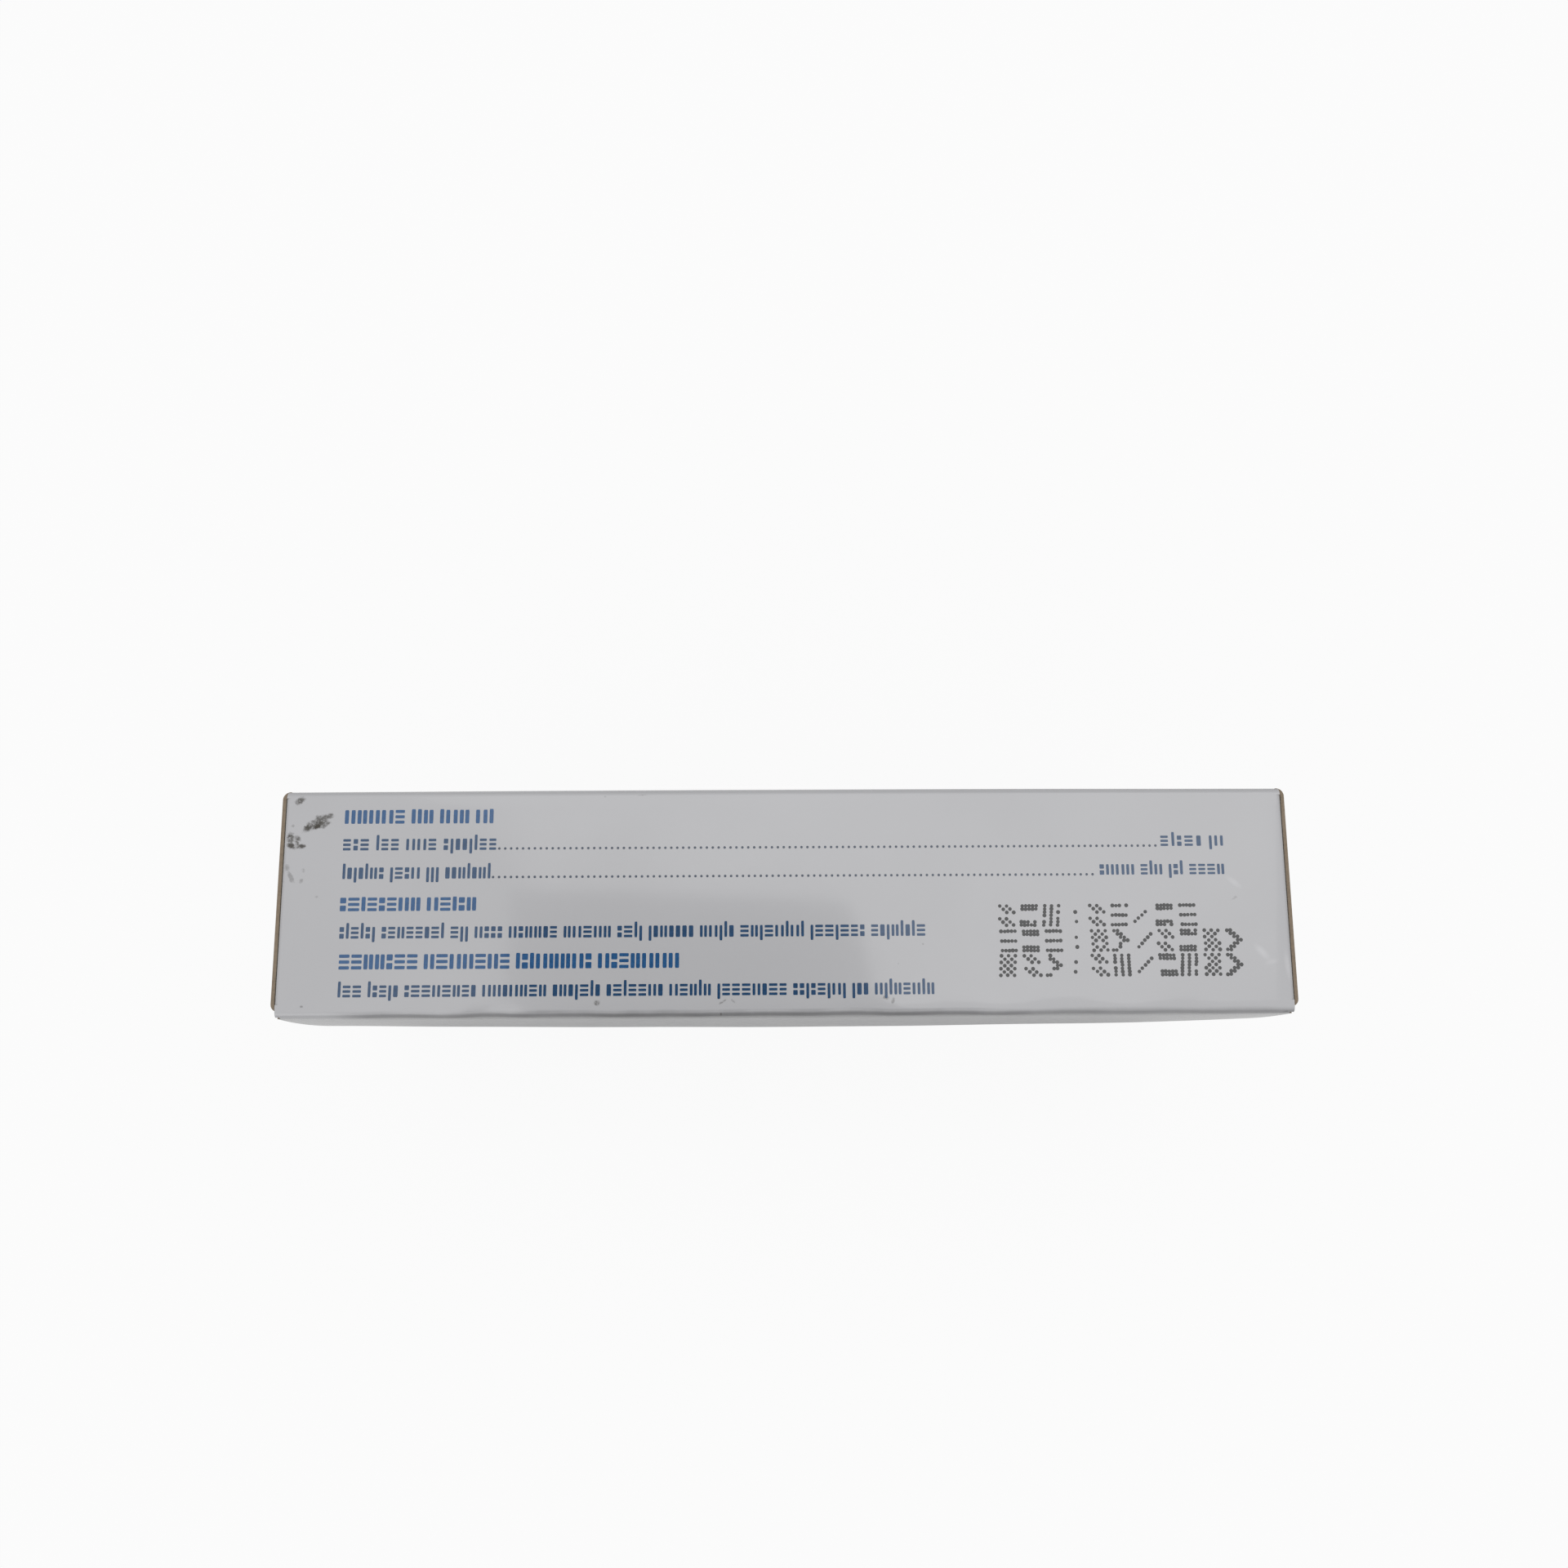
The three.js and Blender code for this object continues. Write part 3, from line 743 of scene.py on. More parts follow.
def sleeve_sheet(board):
    """The four panels and four dust flaps as one sheet, before the board's thickness."""
    fold = board.fold * MM
    flap_fold = board.flap_fold * MM
    thick = board.board * MM
    dust_face = HALF_LENGTH - thick - board.crease_gap * MM
    fold_x = dust_face - flap_fold
    size = (2 * fold_x, 2 * HALF_THICKNESS, DEPTH)
    start_clean()
    bpy.ops.mesh.primitive_cube_add(size=1, location=(0, 0, DEPTH / 2), scale=size)
    piece = settle(bpy.context.object, "carton_wrap")
    edit(piece)
    pick("FACE", lambda face: abs(face.normal.x) > 0.9)
    bpy.ops.mesh.delete(type="FACE")
    pick("EDGE", lambda edge: runs(edge, 0))
    bpy.ops.mesh.bevel(offset=fold, segments=6, affect="EDGES", profile=0.5)
    pick("EDGE", lambda edge: runs(edge, 0))
    bpy.ops.mesh.subdivide(number_cuts=69)
    pick("EDGE", lambda edge: runs(edge, 2) and abs(edge.verts[1].co.z - edge.verts[0].co.z) > DEPTH / 2)
    bpy.ops.mesh.subdivide(number_cuts=27)
    pick("EDGE", lambda edge: runs(edge, 1) and abs(edge.verts[1].co.y - edge.verts[0].co.y) > HALF_THICKNESS)
    bpy.ops.mesh.subdivide(number_cuts=17)
    tab_inside = -HALF_THICKNESS + 2 * thick + board.tab_clearance * MM
    front = tab_inside + board.dust_clearance * MM
    bpy.ops.mesh.select_all(action="SELECT")
    bpy.ops.mesh.bisect(plane_co=(0, front, 0), plane_no=(0, 1, 0))
    rear = HALF_THICKNESS - fold
    hinge_start = HALF_LENGTH - board.crease * MM
    front_end = HALF_LENGTH - board.cut_back * MM
    for end in (-1, 1):
        for side in (-1, 1):
            reach = hinge_start if side > 0 else front_end
            for part in range(2):
                step = (reach - fold_x) / 2
                at = end * (fold_x + part * step)
                pick(
                    "EDGE",
                    lambda edge: near(middle(edge).x, at)
                    and runs(edge, 2)
                    and near(middle(edge).y, side * HALF_THICKNESS),
                )
                draw_out((end * step, 0, 0))
        pick(
            "EDGE",
            lambda edge: near(middle(edge).x, end * fold_x)
            and not front < middle(edge).y < rear
            and abs(middle(edge).z - DEPTH / 2) > DEPTH / 2 - 0.5 * fold,
        )
        draw_out((end * board.corner_lap * MM, 0, 0))
        for top in (-1, 1):
            level = DEPTH if top > 0 else 0
            pick(
                "EDGE",
                lambda edge: near(middle(edge).x, end * fold_x)
                and near(middle(edge).z, level)
                and runs(edge, 1)
                and front - 1e-6 < middle(edge).y < rear + 1e-6,
            )
            centre = (end * fold_x, 0, level - top * flap_fold)
            spin(5, end * top * math.pi / 2, centre, (0, 1, 0))
            shape_dust_flap(board, top, front, rear)
    start_clean()
    return piece


def shape_dust_flap(board, top, front, rear):
    """Carries the fold's free edge down as a dust flap with drawn-in shoulders and round corners."""
    fold = board.flap_fold * MM
    length = board.dust_length * MM
    corner = board.dust_corner * MM
    shoulder = fold + board.dust_shoulder * MM
    width = rear - front
    stops = [shoulder, shoulder + 0.4 * (length - corner - shoulder), length - corner]
    stops += [length - corner + corner * math.sin(math.radians(a)) for a in (22.5, 45, 67.5, 90)]
    now_at, now_wide = fold, width
    for stop in stops:
        draw_out((0, 0, -top * (stop - now_at)))
        share = max(0.0, min(1.0, (stop - shoulder) / (length - corner - shoulder)))
        wide = width - 2 * board.dust_taper * MM * share
        if stop > length - corner:
            wide -= 2 * (corner - math.sqrt(max(0.0, corner**2 - (stop - length + corner) ** 2)))
        bpy.ops.transform.resize(value=(1, wide / now_wide, 1), center_override=(0, (front + rear) / 2, 0))
        now_at, now_wide = stop, wide


def glue_seam(board):
    """The flap glued inside the rear panel, along the side that the carton stands on."""
    thick = board.board * MM
    width = board.glue_width * MM
    length = 2 * (HALF_LENGTH - board.glue_end_room * MM)
    place = (0, HALF_THICKNESS - thick, thick + width / 2)
    piece = plane("seam", place, (-math.pi / 2, 0, 0), length, width)
    edit(piece)
    pick("EDGE", lambda edge: runs(edge, 0))
    bpy.ops.mesh.subdivide(number_cuts=40)
    pick("EDGE", lambda edge: runs(edge, 2))
    bpy.ops.mesh.subdivide(number_cuts=5)
    start_clean()
    for vertex in piece.data.vertices:
        lift = (vertex.co.z - thick) / width
        vertex.co.x *= 1 - 2 * board.glue_taper * MM * lift / length
        vertex.co.y += hump(vertex.co.x, vertex.co.z)
    turn_outwards(piece, lambda face: Vector((0, 1, 0)))
    wall(piece, thick, 0, 1)
    return piece


def looks_up(face):
    """Up, for a face of the upper side or one that lies flat and up already."""
    flat = abs(face.normal.z) > 0.99
    if flat and (face.normal.z > 0 or face.calc_center_median().z > 0.9 * DEPTH):
        return Vector((0, 0, 1))
    return None


def give_finishes(piece, names):
    """Gives the piece the finishes that have been made under these names."""
    for name in names:
        piece.data.materials.append(bpy.data.materials[name])


BOARD_FINISHES = ("coated_board", "inside_board", "cut_edge")


class CARTON_OT_sleeve(bpy.types.Operator):
    """Folds the sleeve with its seam and dust flaps"""

    bl_idname = "carton.sleeve"
    bl_label = "Carton sleeve"

    def execute(self, context):
        board = settings()[0]
        piece = sleeve_sheet(board)
        turn_outwards(piece, looks_up)
        for vertex in piece.data.vertices:
            short_of_end = abs(vertex.co.x) < HALF_LENGTH - 0.55 * MM
            if short_of_end or abs(abs(vertex.co.y) - HALF_THICKNESS) < MM:
                vertex.co = pressed(vertex.co, board)
        coated_board(board)
        raw_board("inside_board", board.inside, 0.2)
        raw_board("cut_edge", board.edge, 0.5)
        give_finishes(piece, BOARD_FINISHES)
        wall(piece, board.board * MM, 1, 2)
        seam = glue_seam(board)
        give_finishes(seam, BOARD_FINISHES[1:])
        piece = join("carton_wrap", [piece, seam])
        smooth(piece)
        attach(piece, "carton")
        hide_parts("carton_sleeve")
        return {"FINISHED"}


def closure_sheet(board, end):
    """An end closure as one sheet: the panel, the fold of its tab and the curved tab."""
    fold = board.fold * MM
    thick = board.board * MM
    crease = board.crease * MM
    tab_radius = 2 * HALF_THICKNESS - thick - board.tab_clearance * MM
    across = math.sqrt((tab_radius - fold) ** 2 - fold**2)
    tangent = math.atan2(fold, across)
    fold_x = HALF_LENGTH - fold
    fold_y = HALF_THICKNESS - across
    node = "closure_flap_right" if end > 0 else "closure_flap_left"
    low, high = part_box(node)
    reach = high.x - low.x
    tab_angle = math.asin(reach / tab_radius) - 0.9 * thick / tab_radius
    start_y = HALF_THICKNESS - crease
    middle_z = (low.z + high.z) / 2
    place = (end * HALF_LENGTH, (start_y + fold_y) / 2, middle_z)
    piece = plane("closure", place, (0, math.pi / 2, 0), high.z - low.z, start_y - fold_y)
    edit(piece)
    pick("EDGE", lambda edge: runs(edge, 2))
    bpy.ops.mesh.subdivide(number_cuts=23)
    pick("EDGE", lambda edge: runs(edge, 1))
    bpy.ops.mesh.subdivide(number_cuts=13)
    slit_z = board.slit_length * MM
    for level in (low.z + slit_z, high.z - slit_z):
        bpy.ops.mesh.select_all(action="SELECT")
        bpy.ops.mesh.bisect(plane_co=(0, 0, level), plane_no=(0, 0, 1))
    pick("EDGE", lambda edge: runs(edge, 2) and near(middle(edge).y, fold_y, 1e-5))
    spin(6, -end * (math.pi / 2 + tangent), (end * fold_x, fold_y, 0), (0, 0, 1))
    slit_angle = board.slit_width * MM / tab_radius
    hinge = (end * HALF_LENGTH, HALF_THICKNESS, 0)
    spin(1, -end * slit_angle, hinge, (0, 0, 1))
    tab_shape = (tangent + slit_angle, tab_angle, tab_radius, hinge)
    shape_tab(board, end, tab_shape, middle_z, (high.z - low.z) / 2)

    def in_slit(face):
        centre = face.calc_center_median()
        away = math.atan2(end * (hinge[0] - centre.x), hinge[1] - centre.y)
        at_an_end = centre.z < low.z + slit_z or centre.z > high.z - slit_z
        return tangent < away < tangent + slit_angle and at_an_end

    pick("FACE", in_slit)
    bpy.ops.mesh.delete(type="FACE")
    start_clean()
    return piece


def shape_tab(board, end, tab_shape, middle_z, half):
    """Spins the tab on about the closure's crease in short steps, drawing in its free corners."""
    start, stop, radius, hinge = tab_shape
    corner = board.tab_corner * MM
    steps = 14
    side = board.tab_clearance * MM
    now = half
    for i in range(steps):
        spin(1, -end * (stop - start) / steps, hinge, (0, 0, 1))
        left = radius * (stop - start) * (1 - (i + 1) / steps)
        drawn = 0.0
        if left < corner:
            drawn = corner - math.sqrt(max(0.0, corner**2 - (corner - left) ** 2))
        wide = half - side - drawn
        bpy.ops.transform.resize(value=(1, 1, wide / now), center_override=(0, 0, middle_z))
        now = wide


def hollow_face(piece, end):
    """Lets a closure's flat face fall in a little and unevenly."""
    for vertex in piece.data.vertices:
        x, y, z = vertex.co
        if abs(x) > HALF_LENGTH - 1e-6:
            span = max(0.0, 1 - (2 * z / DEPTH - 1) ** 2) * max(0.0, 1 - (y / HALF_THICKNESS) ** 2)
            vertex.co.x -= end * CLOSURE_HOLLOW * MM * span * (0.6 + 0.4 * ripple(y, z, end))


class CARTON_OT_closures(bpy.types.Operator):
    """Folds the two end closures and the creases that they turn on"""

    bl_idname = "carton.closures"
    bl_label = "End closures"

    def execute(self, context):
        board = settings()[0]
        for end, word in ((-1, "left"), (1, "right")):
            piece = closure_sheet(board, end)
            outward = Vector((end, 0, 0))
            turn_outwards(piece, lambda face: outward if abs(face.normal.x) > 0.999 else None)
            hollow_face(piece, end)
            give_finishes(piece, BOARD_FINISHES)
            wall(piece, board.board * MM, 1, 2)
            settle(piece, "closure_board_" + word)
            smooth(piece)
            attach(piece, "closure_" + word)
            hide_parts("closure_flap_" + word)
            crease_strip(board, end, word)
        return {"FINISHED"}


def crease_strip(board, end, word):
    """The pressed crease between the rear panel and a closure."""
    crease = board.crease * MM
    lap = CREASE_LAP * MM
    low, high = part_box("closure_flap_" + word)
    place = (end * (HALF_LENGTH - crease - lap / 2), HALF_THICKNESS, (low.z + high.z) / 2)
    piece = plane("crease_" + word, place, (math.pi / 2, 0, 0), lap, high.z - low.z)
    edit(piece)
    pick("EDGE", lambda edge: runs(edge, 2))
    bpy.ops.mesh.subdivide(number_cuts=15)
    pick("EDGE", lambda edge: runs(edge, 2) and near(middle(edge).x, end * (HALF_LENGTH - crease), 1e-6))
    spin(10, -end * math.pi / 2, (end * (HALF_LENGTH - crease), HALF_THICKNESS - crease, 0), (0, 0, 1))
    draw_out((0, -lap, 0))
    start_clean()
    outward = Vector((end, 1, 0))
    turn_outwards(piece, lambda face: outward)
    give_finishes(piece, BOARD_FINISHES)
    wall(piece, board.board * MM, 1, 2)
    settle(piece, "crease_" + word)
    smooth(piece)
    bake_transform(piece)


# Print: plain bars, dashes and dots in the rhythm of small printed lines

# Lines: left end, base line, length, height in mm, and whether bold
LINES = (
    (-50.15, 9.0, 16.9, 1.65, True),
    (-50.2, 5.95, 17.4, 1.75, False),
    (-50.1, 2.7, 16.7, 1.75, False),
    (-50.2, -0.93, 15.3, 1.6, True),
    (-50.1, -4.0, 65.8, 1.75, False),
    (-50.0, -7.43, 38.0, 1.75, True),
    (-49.95, -10.5, 66.5, 1.75, False),
    (42.8, 6.05, 7.2, 1.6, False),
    (35.7, 2.8, 14.2, 1.6, False),
)
# Leader dots: first and last x, and the level, in mm
LEADERS = ((-32.5, 42.5, 6.1), (-33.1, 35.3, 2.85))
# Batch block: left end and top of each row, and number of its cells, in mm
BATCH = ((24.2, -0.7, 9), (24.25, -3.55, 11), (24.2, -6.3, 11))
# The marks that a line's cells are drawn from, each as often as it is named
LIGHT_KINDS = ("bars", "bars", "dashes", "dashes", "tall", "hung", "stack", "block")
BOLD_KINDS = ("bars", "bars", "bars", "dashes", "dashes", "dashes", "tall", "stack")
GROUP_SIZES = (3, 4, 5, 6, 7, 8)
# Sizes in a line, in mm: between cells, between groups besides, and of the marks
CELL_GAP = 0.22
GROUP_GAP = 0.5
LEAST_CELL = 1.2
CELL_WIDTHS = (0.78, 0.86, 0.94)
BLOCK_WIDTH = 0.5
HUNG_DEPTH = 0.4
BOLD_SPREAD = 1.35
# A cell's height without a tall mark, as a share of the line's
BOLD_BODY = 0.95
LIGHT_BODY = 0.74
# The batch block, in mm: from cell to cell and from dot to dot, and how far a dot strays
CELL_PITCH = 2.55
DOT_PITCH = 0.36
DOT_SPREAD = 1.08 * DOT_PITCH
DOT_STRAY = 0.02
ROW_LEAN = 0.04
MISSING_DOTS = 0.03
# Cells of the batch block, five dots wide and seven high
CELLS = {
    "rails": ("11111", "00000", "00000", "11111", "00000", "00000", "11111"),
    "bands": ("11111", "11111", "00000", "00000", "00000", "11111", "11111"),
    "columns": ("10101", "10101", "10101", "10101", "10101", "10101", "10101"),
    "steps": ("11000", "01100", "00110", "00011", "00110", "01100", "11000"),
    "checker": ("10101", "01010", "10101", "01010", "10101", "01010", "10101"),
    "weave": ("10100", "01010", "00101", "00000", "10100", "01010", "00101"),
    "slope": ("00000", "00001", "00010", "00100", "01000", "10000", "00000"),
    "pair": ("00000", "00000", "00100", "00000", "00000", "00100", "00000"),
}


def marks_mesh(name, stamp, places, board, material):
    """Copies a small printed mark to each place on the upper narrow side.

    A place is x, y, width and height in metres.
    """
    made = bmesh.new()
    shape = bmesh.new()
    shape.from_mesh(stamp.data)
    film = settings()[1].film * MM
    for x, y, wide, high in places:
        fresh = {}
        for vertex in shape.verts:
            at_x = x + vertex.co.x * wide
            at_y = y + vertex.co.y * high
            level = DEPTH + top_level(at_x, at_y, board) + vertex.co.z * film
            fresh[vertex] = made.verts.new((at_x, at_y, level))
        for face in shape.faces:
            made.faces.new([fresh[v] for v in face.verts])
    mesh = bpy.data.meshes.new(name)
    made.to_mesh(mesh)
    made.free()
    shape.free()
    piece = bpy.data.objects.new(name, mesh)
    bpy.context.scene.collection.objects.link(piece)
    mesh.materials.append(material)
    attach(piece, "carton")
    return piece


def bar_stamp():
    """A block one wide and one high, standing one film thick on the board, with its upper edges eased."""
    start_clean()
    bpy.ops.mesh.primitive_cube_add(size=1, location=(0.5, 0.5, 0))
    piece = settle(bpy.context.object, "bar_stamp")
    edit(piece)
    bpy.ops.mesh.select_all(action="SELECT")
    bpy.ops.transform.resize(value=(1, 1, 2), center_override=(0, 0, 0))
    pick("EDGE", lambda edge: runs(edge, 2))
    bpy.ops.mesh.bevel(offset=0.1, segments=1, affect="EDGES")
    start_clean()
    return piece


def dot_stamp():
    """A round dot one across, standing one film thick on the board."""
    start_clean()
    bpy.ops.mesh.primitive_cylinder_add(vertices=10, radius=0.5, depth=2)
    piece = settle(bpy.context.object, "dot_stamp")
    edit(piece)
    pick("FACE", lambda face: face.normal.z > 0.9)
    bpy.ops.mesh.bevel(offset=0.06, segments=1, affect="EDGES")
    start_clean()
    return piece


def scaled(*sizes):
    """Millimetres as metres."""
    return tuple(size * MM for size in sizes)


def mark_cell(rng, base, height, stroke, bold):
    """One cell of a printed line: its width and its marks, each as x, y, width and height."""
    small = (BOLD_BODY if bold else LIGHT_BODY) * height
    spread = BOLD_SPREAD if bold else 1.0
    kind = rng.choice(BOLD_KINDS if bold else LIGHT_KINDS)
    if kind == "tall":
        return stroke, [(0, base, stroke, height)]
    if kind == "hung":
        return stroke, [(0, base - HUNG_DEPTH, stroke, small + HUNG_DEPTH)]
    wide = BLOCK_WIDTH * spread
    if kind == "block":
        return wide, [(0, base, wide, small)]
    if kind == "stack":
        square = 0.42 * small
        return wide, [(0, base, wide, square), (0, base + small - square, wide, square)]
    wide = rng.choice(CELL_WIDTHS) * spread
    if kind == "bars":
        return wide, [(0, base, stroke, small), (wide - stroke, base, stroke, small)]
    dash = min(stroke, 0.22 * small)
    return wide, [(0, base + i * (small - dash) / 2, wide, dash) for i in range(3)]


def mark_words(rng, left, base, length, height, bold, stroke):
    """Cells in groups of a few, with gaps between the groups, spread to fill one line."""
    marks = []
    x, right = left, left + length
    while x < right - LEAST_CELL:
        for _ in range(rng.choice(GROUP_SIZES)):
            wide, cell = mark_cell(rng, base, height, stroke, bold)
            if x + wide > right:
                x = right
                break
            marks.extend((x + cx, y, cw, ch) for cx, y, cw, ch in cell)
            x += wide + CELL_GAP
        x += GROUP_GAP
    stretch = length / (max(mx + mw for mx, _, mw, _ in marks) - left)
    return [scaled(left + (mx - left) * stretch, my, mw, mh) for mx, my, mw, mh in marks]


def batch_dots(rng, left, top, count, size):
    """A row of cells of dots. The fourth is a pair of dots and the seventh a slope."""
    dots = []
    plain = [name for name in CELLS if name not in ("slope", "pair")]
    last = None
    for cell in range(count):
        name = {3: "pair", 6: "slope"}.get(cell) or rng.choice([n for n in plain if n != last])
        last = name
        lean = rng.uniform(-ROW_LEAN, ROW_LEAN)
        start = left + cell * CELL_PITCH
        for row, bits in enumerate(CELLS[name]):
            for column, bit in enumerate(bits):
                if bit == "0" or rng.random() < MISSING_DOTS:
                    continue
                x = start + column * DOT_SPREAD + lean * row + DOT_STRAY * rng.uniform(-1, 1)
                y = top - row * DOT_PITCH + DOT_STRAY * rng.uniform(-1, 1)
                grown = size * rng.uniform(0.9, 1.1)
                dots.append(scaled(x, y, grown, grown))
    return dots


class CARTON_OT_print(bpy.types.Operator):
    """Prints plain lines of bars, leader dots and a block of dots on the upper narrow side"""

    bl_idname = "carton.print"
    bl_label = "Plain print"

    def execute(self, context):
        board, press, _ = settings()
        rng = random.Random(press.seed)
        bar = bar_stamp()
        dot = dot_stamp()
        bold, light = [], []
        for left, base, length, height, heavy in LINES:
            stroke = press.bold_stroke if heavy else press.light_stroke
            (bold if heavy else light).extend(mark_words(rng, left, base, length, height, heavy, stroke))
        leaders = []
        for first, last, level in LEADERS:
            for i in range(int((last - first) / press.leader_pitch) + 1):
                x = first + press.leader_pitch * i
                leaders.append(scaled(x, level, press.leader_dot, press.leader_dot))
        batch = []
        for left, top, count in BATCH:
            batch.extend(batch_dots(rng, left, top, count, press.dot))
        for name, stamp, places, finish in (
            ("print_headings", bar, bold, ink("bold_blue", press.bold)),
            ("print_lines", bar, light, ink("text_blue", press.light)),
            ("print_leaders", dot, leaders, ink("leader_grey", press.leader)),
            ("print_batch", dot, batch, ink("batch_black", press.batch)),
        ):
            marks_mesh(name, stamp, places, board, finish)
        for stamp in (bar, dot):
            bpy.data.objects.remove(stamp)
        return {"FINISHED"}


# Blister cards


def pocket_places():
    """Each tablet's name and middle, read from its solid."""
    places = []
    for name in sorted(frame["nodes"]):
        if name.startswith("tablet_"):
            low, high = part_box(name)
            places.append((name, (low + high) / 2))
    return places


def pocket_block(pack, grown, mouth, name):
    """One pocket's solid about the Y axis, with its mouth at a level and its crown towards -Y."""
    radius = (pack.tablet / 2 + pack.side_room) * MM + grown
    height = (pack.thickness + 2 * pack.end_room) * MM + grown
    wide = radius + pack.draft * MM
    start_clean()
    bpy.ops.mesh.primitive_cylinder_add(
        vertices=40,
        radius=wide,
        depth=height + mouth,
        location=(0, (mouth - height) / 2, 0),
        rotation=(math.pi / 2, 0, 0),
    )
    piece = settle(bpy.context.object, name)
    edit(piece)
    pick("VERT", lambda vertex: vertex.co.y < -0.9 * height)
    bpy.ops.transform.resize(value=(radius / wide, 1, radius / wide), center_override=(0, 0, 0))
    pick("FACE", lambda face: face.normal.y < -0.9)
    bpy.ops.mesh.bevel(offset=pack.pocket_round * MM, segments=4, affect="EDGES")
    start_clean()
    return piece


def formed_tray(pack, centres, level):
    """The formed tray of one card: a flat flange with rounded corners and its pockets."""
    low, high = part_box("blister_tray_1")
    sheet = pack.sheet * MM
    size = (high.x - low.x, sheet, high.z - low.z)
    start_clean()
    bpy.ops.mesh.primitive_cube_add(size=1, location=(0, level - sheet / 2, (low.z + high.z) / 2), scale=size)
    tray = settle(bpy.context.object, "tray")
    edit(tray)
    pick("EDGE", lambda edge: runs(edge, 1))
    bpy.ops.mesh.bevel(offset=pack.tray_corner * MM, segments=8, affect="EDGES")
    start_clean()
    outer = pocket_block(pack, sheet, -sheet / 2, "outer")
    inner = pocket_block(pack, 0, sheet, "inner")
    for block, operation in ((outer, "UNION"), (inner, "DIFFERENCE")):
        blocks = [copy_of(block, "block", (centre.x, level, centre.z)) for centre in centres]
        cut_with(tray, join("blocks", blocks), operation)
        bpy.data.objects.remove(block)
    return tray


class CARTON_OT_blisters(bpy.types.Operator):
    """Forms the clear trays and gives the foils their finish"""

    bl_idname = "carton.blisters"
    bl_label = "Blister cards"

    def execute(self, context):
        pack = settings()[2]
        trays = sorted(name for name in frame["nodes"] if name.startswith("blister_tray_"))
        centres = [centre for _, centre in pocket_places()]
        first_card = [centre for centre in centres if near(centre.y, centres[0].y, MM)]
        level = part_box(trays[0])[1].y
        form = formed_tray(pack, first_card, level)
        form.data.materials.append(clear_sheet(pack))
        smooth(form, 35)
        for name in trays:
            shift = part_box(name)[1].y - level
            piece = copy_of(form, name.replace("blister_tray", "formed_tray"), (0, shift, 0))
            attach(piece, "carton")
            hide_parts(name)
        bpy.data.objects.remove(form)
        finish = foil(pack)
        for name, node in frame["nodes"].items():
            if name.startswith("lidding_foil_"):
                node.data.materials.clear()
                node.data.materials.append(finish)
        return {"FINISHED"}


def tablet_form(pack):
    """A round tablet about the Y axis: a band, two crowns raised in rings and a break line."""
    radius = pack.tablet / 2 * MM
    half = pack.thickness / 2 * MM
    crown = pack.crown * MM
    rim = half - crown
    start_clean()
    bpy.ops.mesh.primitive_cylinder_add(
        vertices=36, radius=radius, depth=2 * rim, rotation=(math.pi / 2, 0, 0)
    )
    piece = settle(bpy.context.object, "tablet_form")
    edit(piece)
    rings = (0.93, 0.8, 0.62, 0.4, 0.15)
    for side in (-1, 1):
        pick("FACE", lambda face: face.normal.y * side > 0.9)
        before, level = 1.0, 0.0
        for share in rings:
            bpy.ops.mesh.inset(thickness=radius * (before - share))
            lift = crown * (1 - share**2)
            bpy.ops.transform.translate(value=(0, side * (lift - level), 0))
            before, level = share, lift
    start_clean()
    depth = pack.score_depth * MM
    corner = depth * 4 / 3
    bpy.ops.mesh.primitive_cylinder_add(
        vertices=3, radius=corner, depth=2.5 * radius, location=(0, depth - half - corner, 0)
    )
    bpy.context.object.scale.x = pack.score_width * MM / (corner * math.cos(math.radians(30)))
    groove = settle(bpy.context.object, "groove")
    cut_with(piece, groove, "DIFFERENCE")
    edge = piece.modifiers.new("soft", "BEVEL")
    edge.width = pack.edge_round * MM
    edge.segments = 2
    edge.limit_method = "ANGLE"
    edge.angle_limit = math.radians(24)
    harden(piece)
    return piece


class CARTON_OT_tablets(bpy.types.Operator):
    """Presses the tablets and lays one in each pocket"""

    bl_idname = "carton.tablets"
    bl_label = "Tablets"

    def execute(self, context):
        pack = settings()[2]
        form = tablet_form(pack)
        form.data.materials.append(pressed_powder(pack))
        smooth(form, 24)
        for name, centre in pocket_places():
            piece = copy_of(form, name.replace("tablet", "pressed_tablet"), centre)
            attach(piece, "carton")
            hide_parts(name)
        bpy.data.objects.remove(form)
        return {"FINISHED"}


class CARTON_OT_leaflet(bpy.types.Operator):
    """Folds the leaflet to and fro"""

    bl_idname = "carton.leaflet"
    bl_label = "Leaflet"

    def execute(self, context):
        pack = settings()[2]
        low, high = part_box("leaflet")
        paper = pack.paper * MM
        pitch = (pack.paper + pack.space) * MM
        bottom = low.z + pitch / 2 + paper / 2
        top = high.z - pitch / 2 - paper / 2
        place = (0, high.y - paper / 2, (bottom + top) / 2)
        piece = plane("leaflet_form", place, (math.pi / 2, 0, 0), high.x - low.x, top - bottom)
        edit(piece)
        pick("EDGE", lambda edge: runs(edge, 0))
        bpy.ops.mesh.subdivide(number_cuts=11)
        y = high.y - paper / 2
        pick("EDGE", lambda edge: runs(edge, 0) and near(middle(edge).z, top))
        for layer in range(pack.layers - 1):
            up = layer % 2 == 0
            level = top if up else bottom
            spin(6, (1 if up else -1) * math.pi, (0, y - pitch / 2, level), (1, 0, 0))
            draw_out((0, 0, bottom - top if up else top - bottom))
            y -= pitch
        start_clean()
        modifier = piece.modifiers.new("paper", "SOLIDIFY")
        modifier.thickness = paper
        modifier.offset = 0
        harden(piece)
        piece.data.materials.append(thin_paper(pack))
        smooth(piece)
        settle(piece, "folded_leaflet")
        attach(piece, "carton")
        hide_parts("leaflet")
        return {"FINISHED"}


# Camera, light and floor

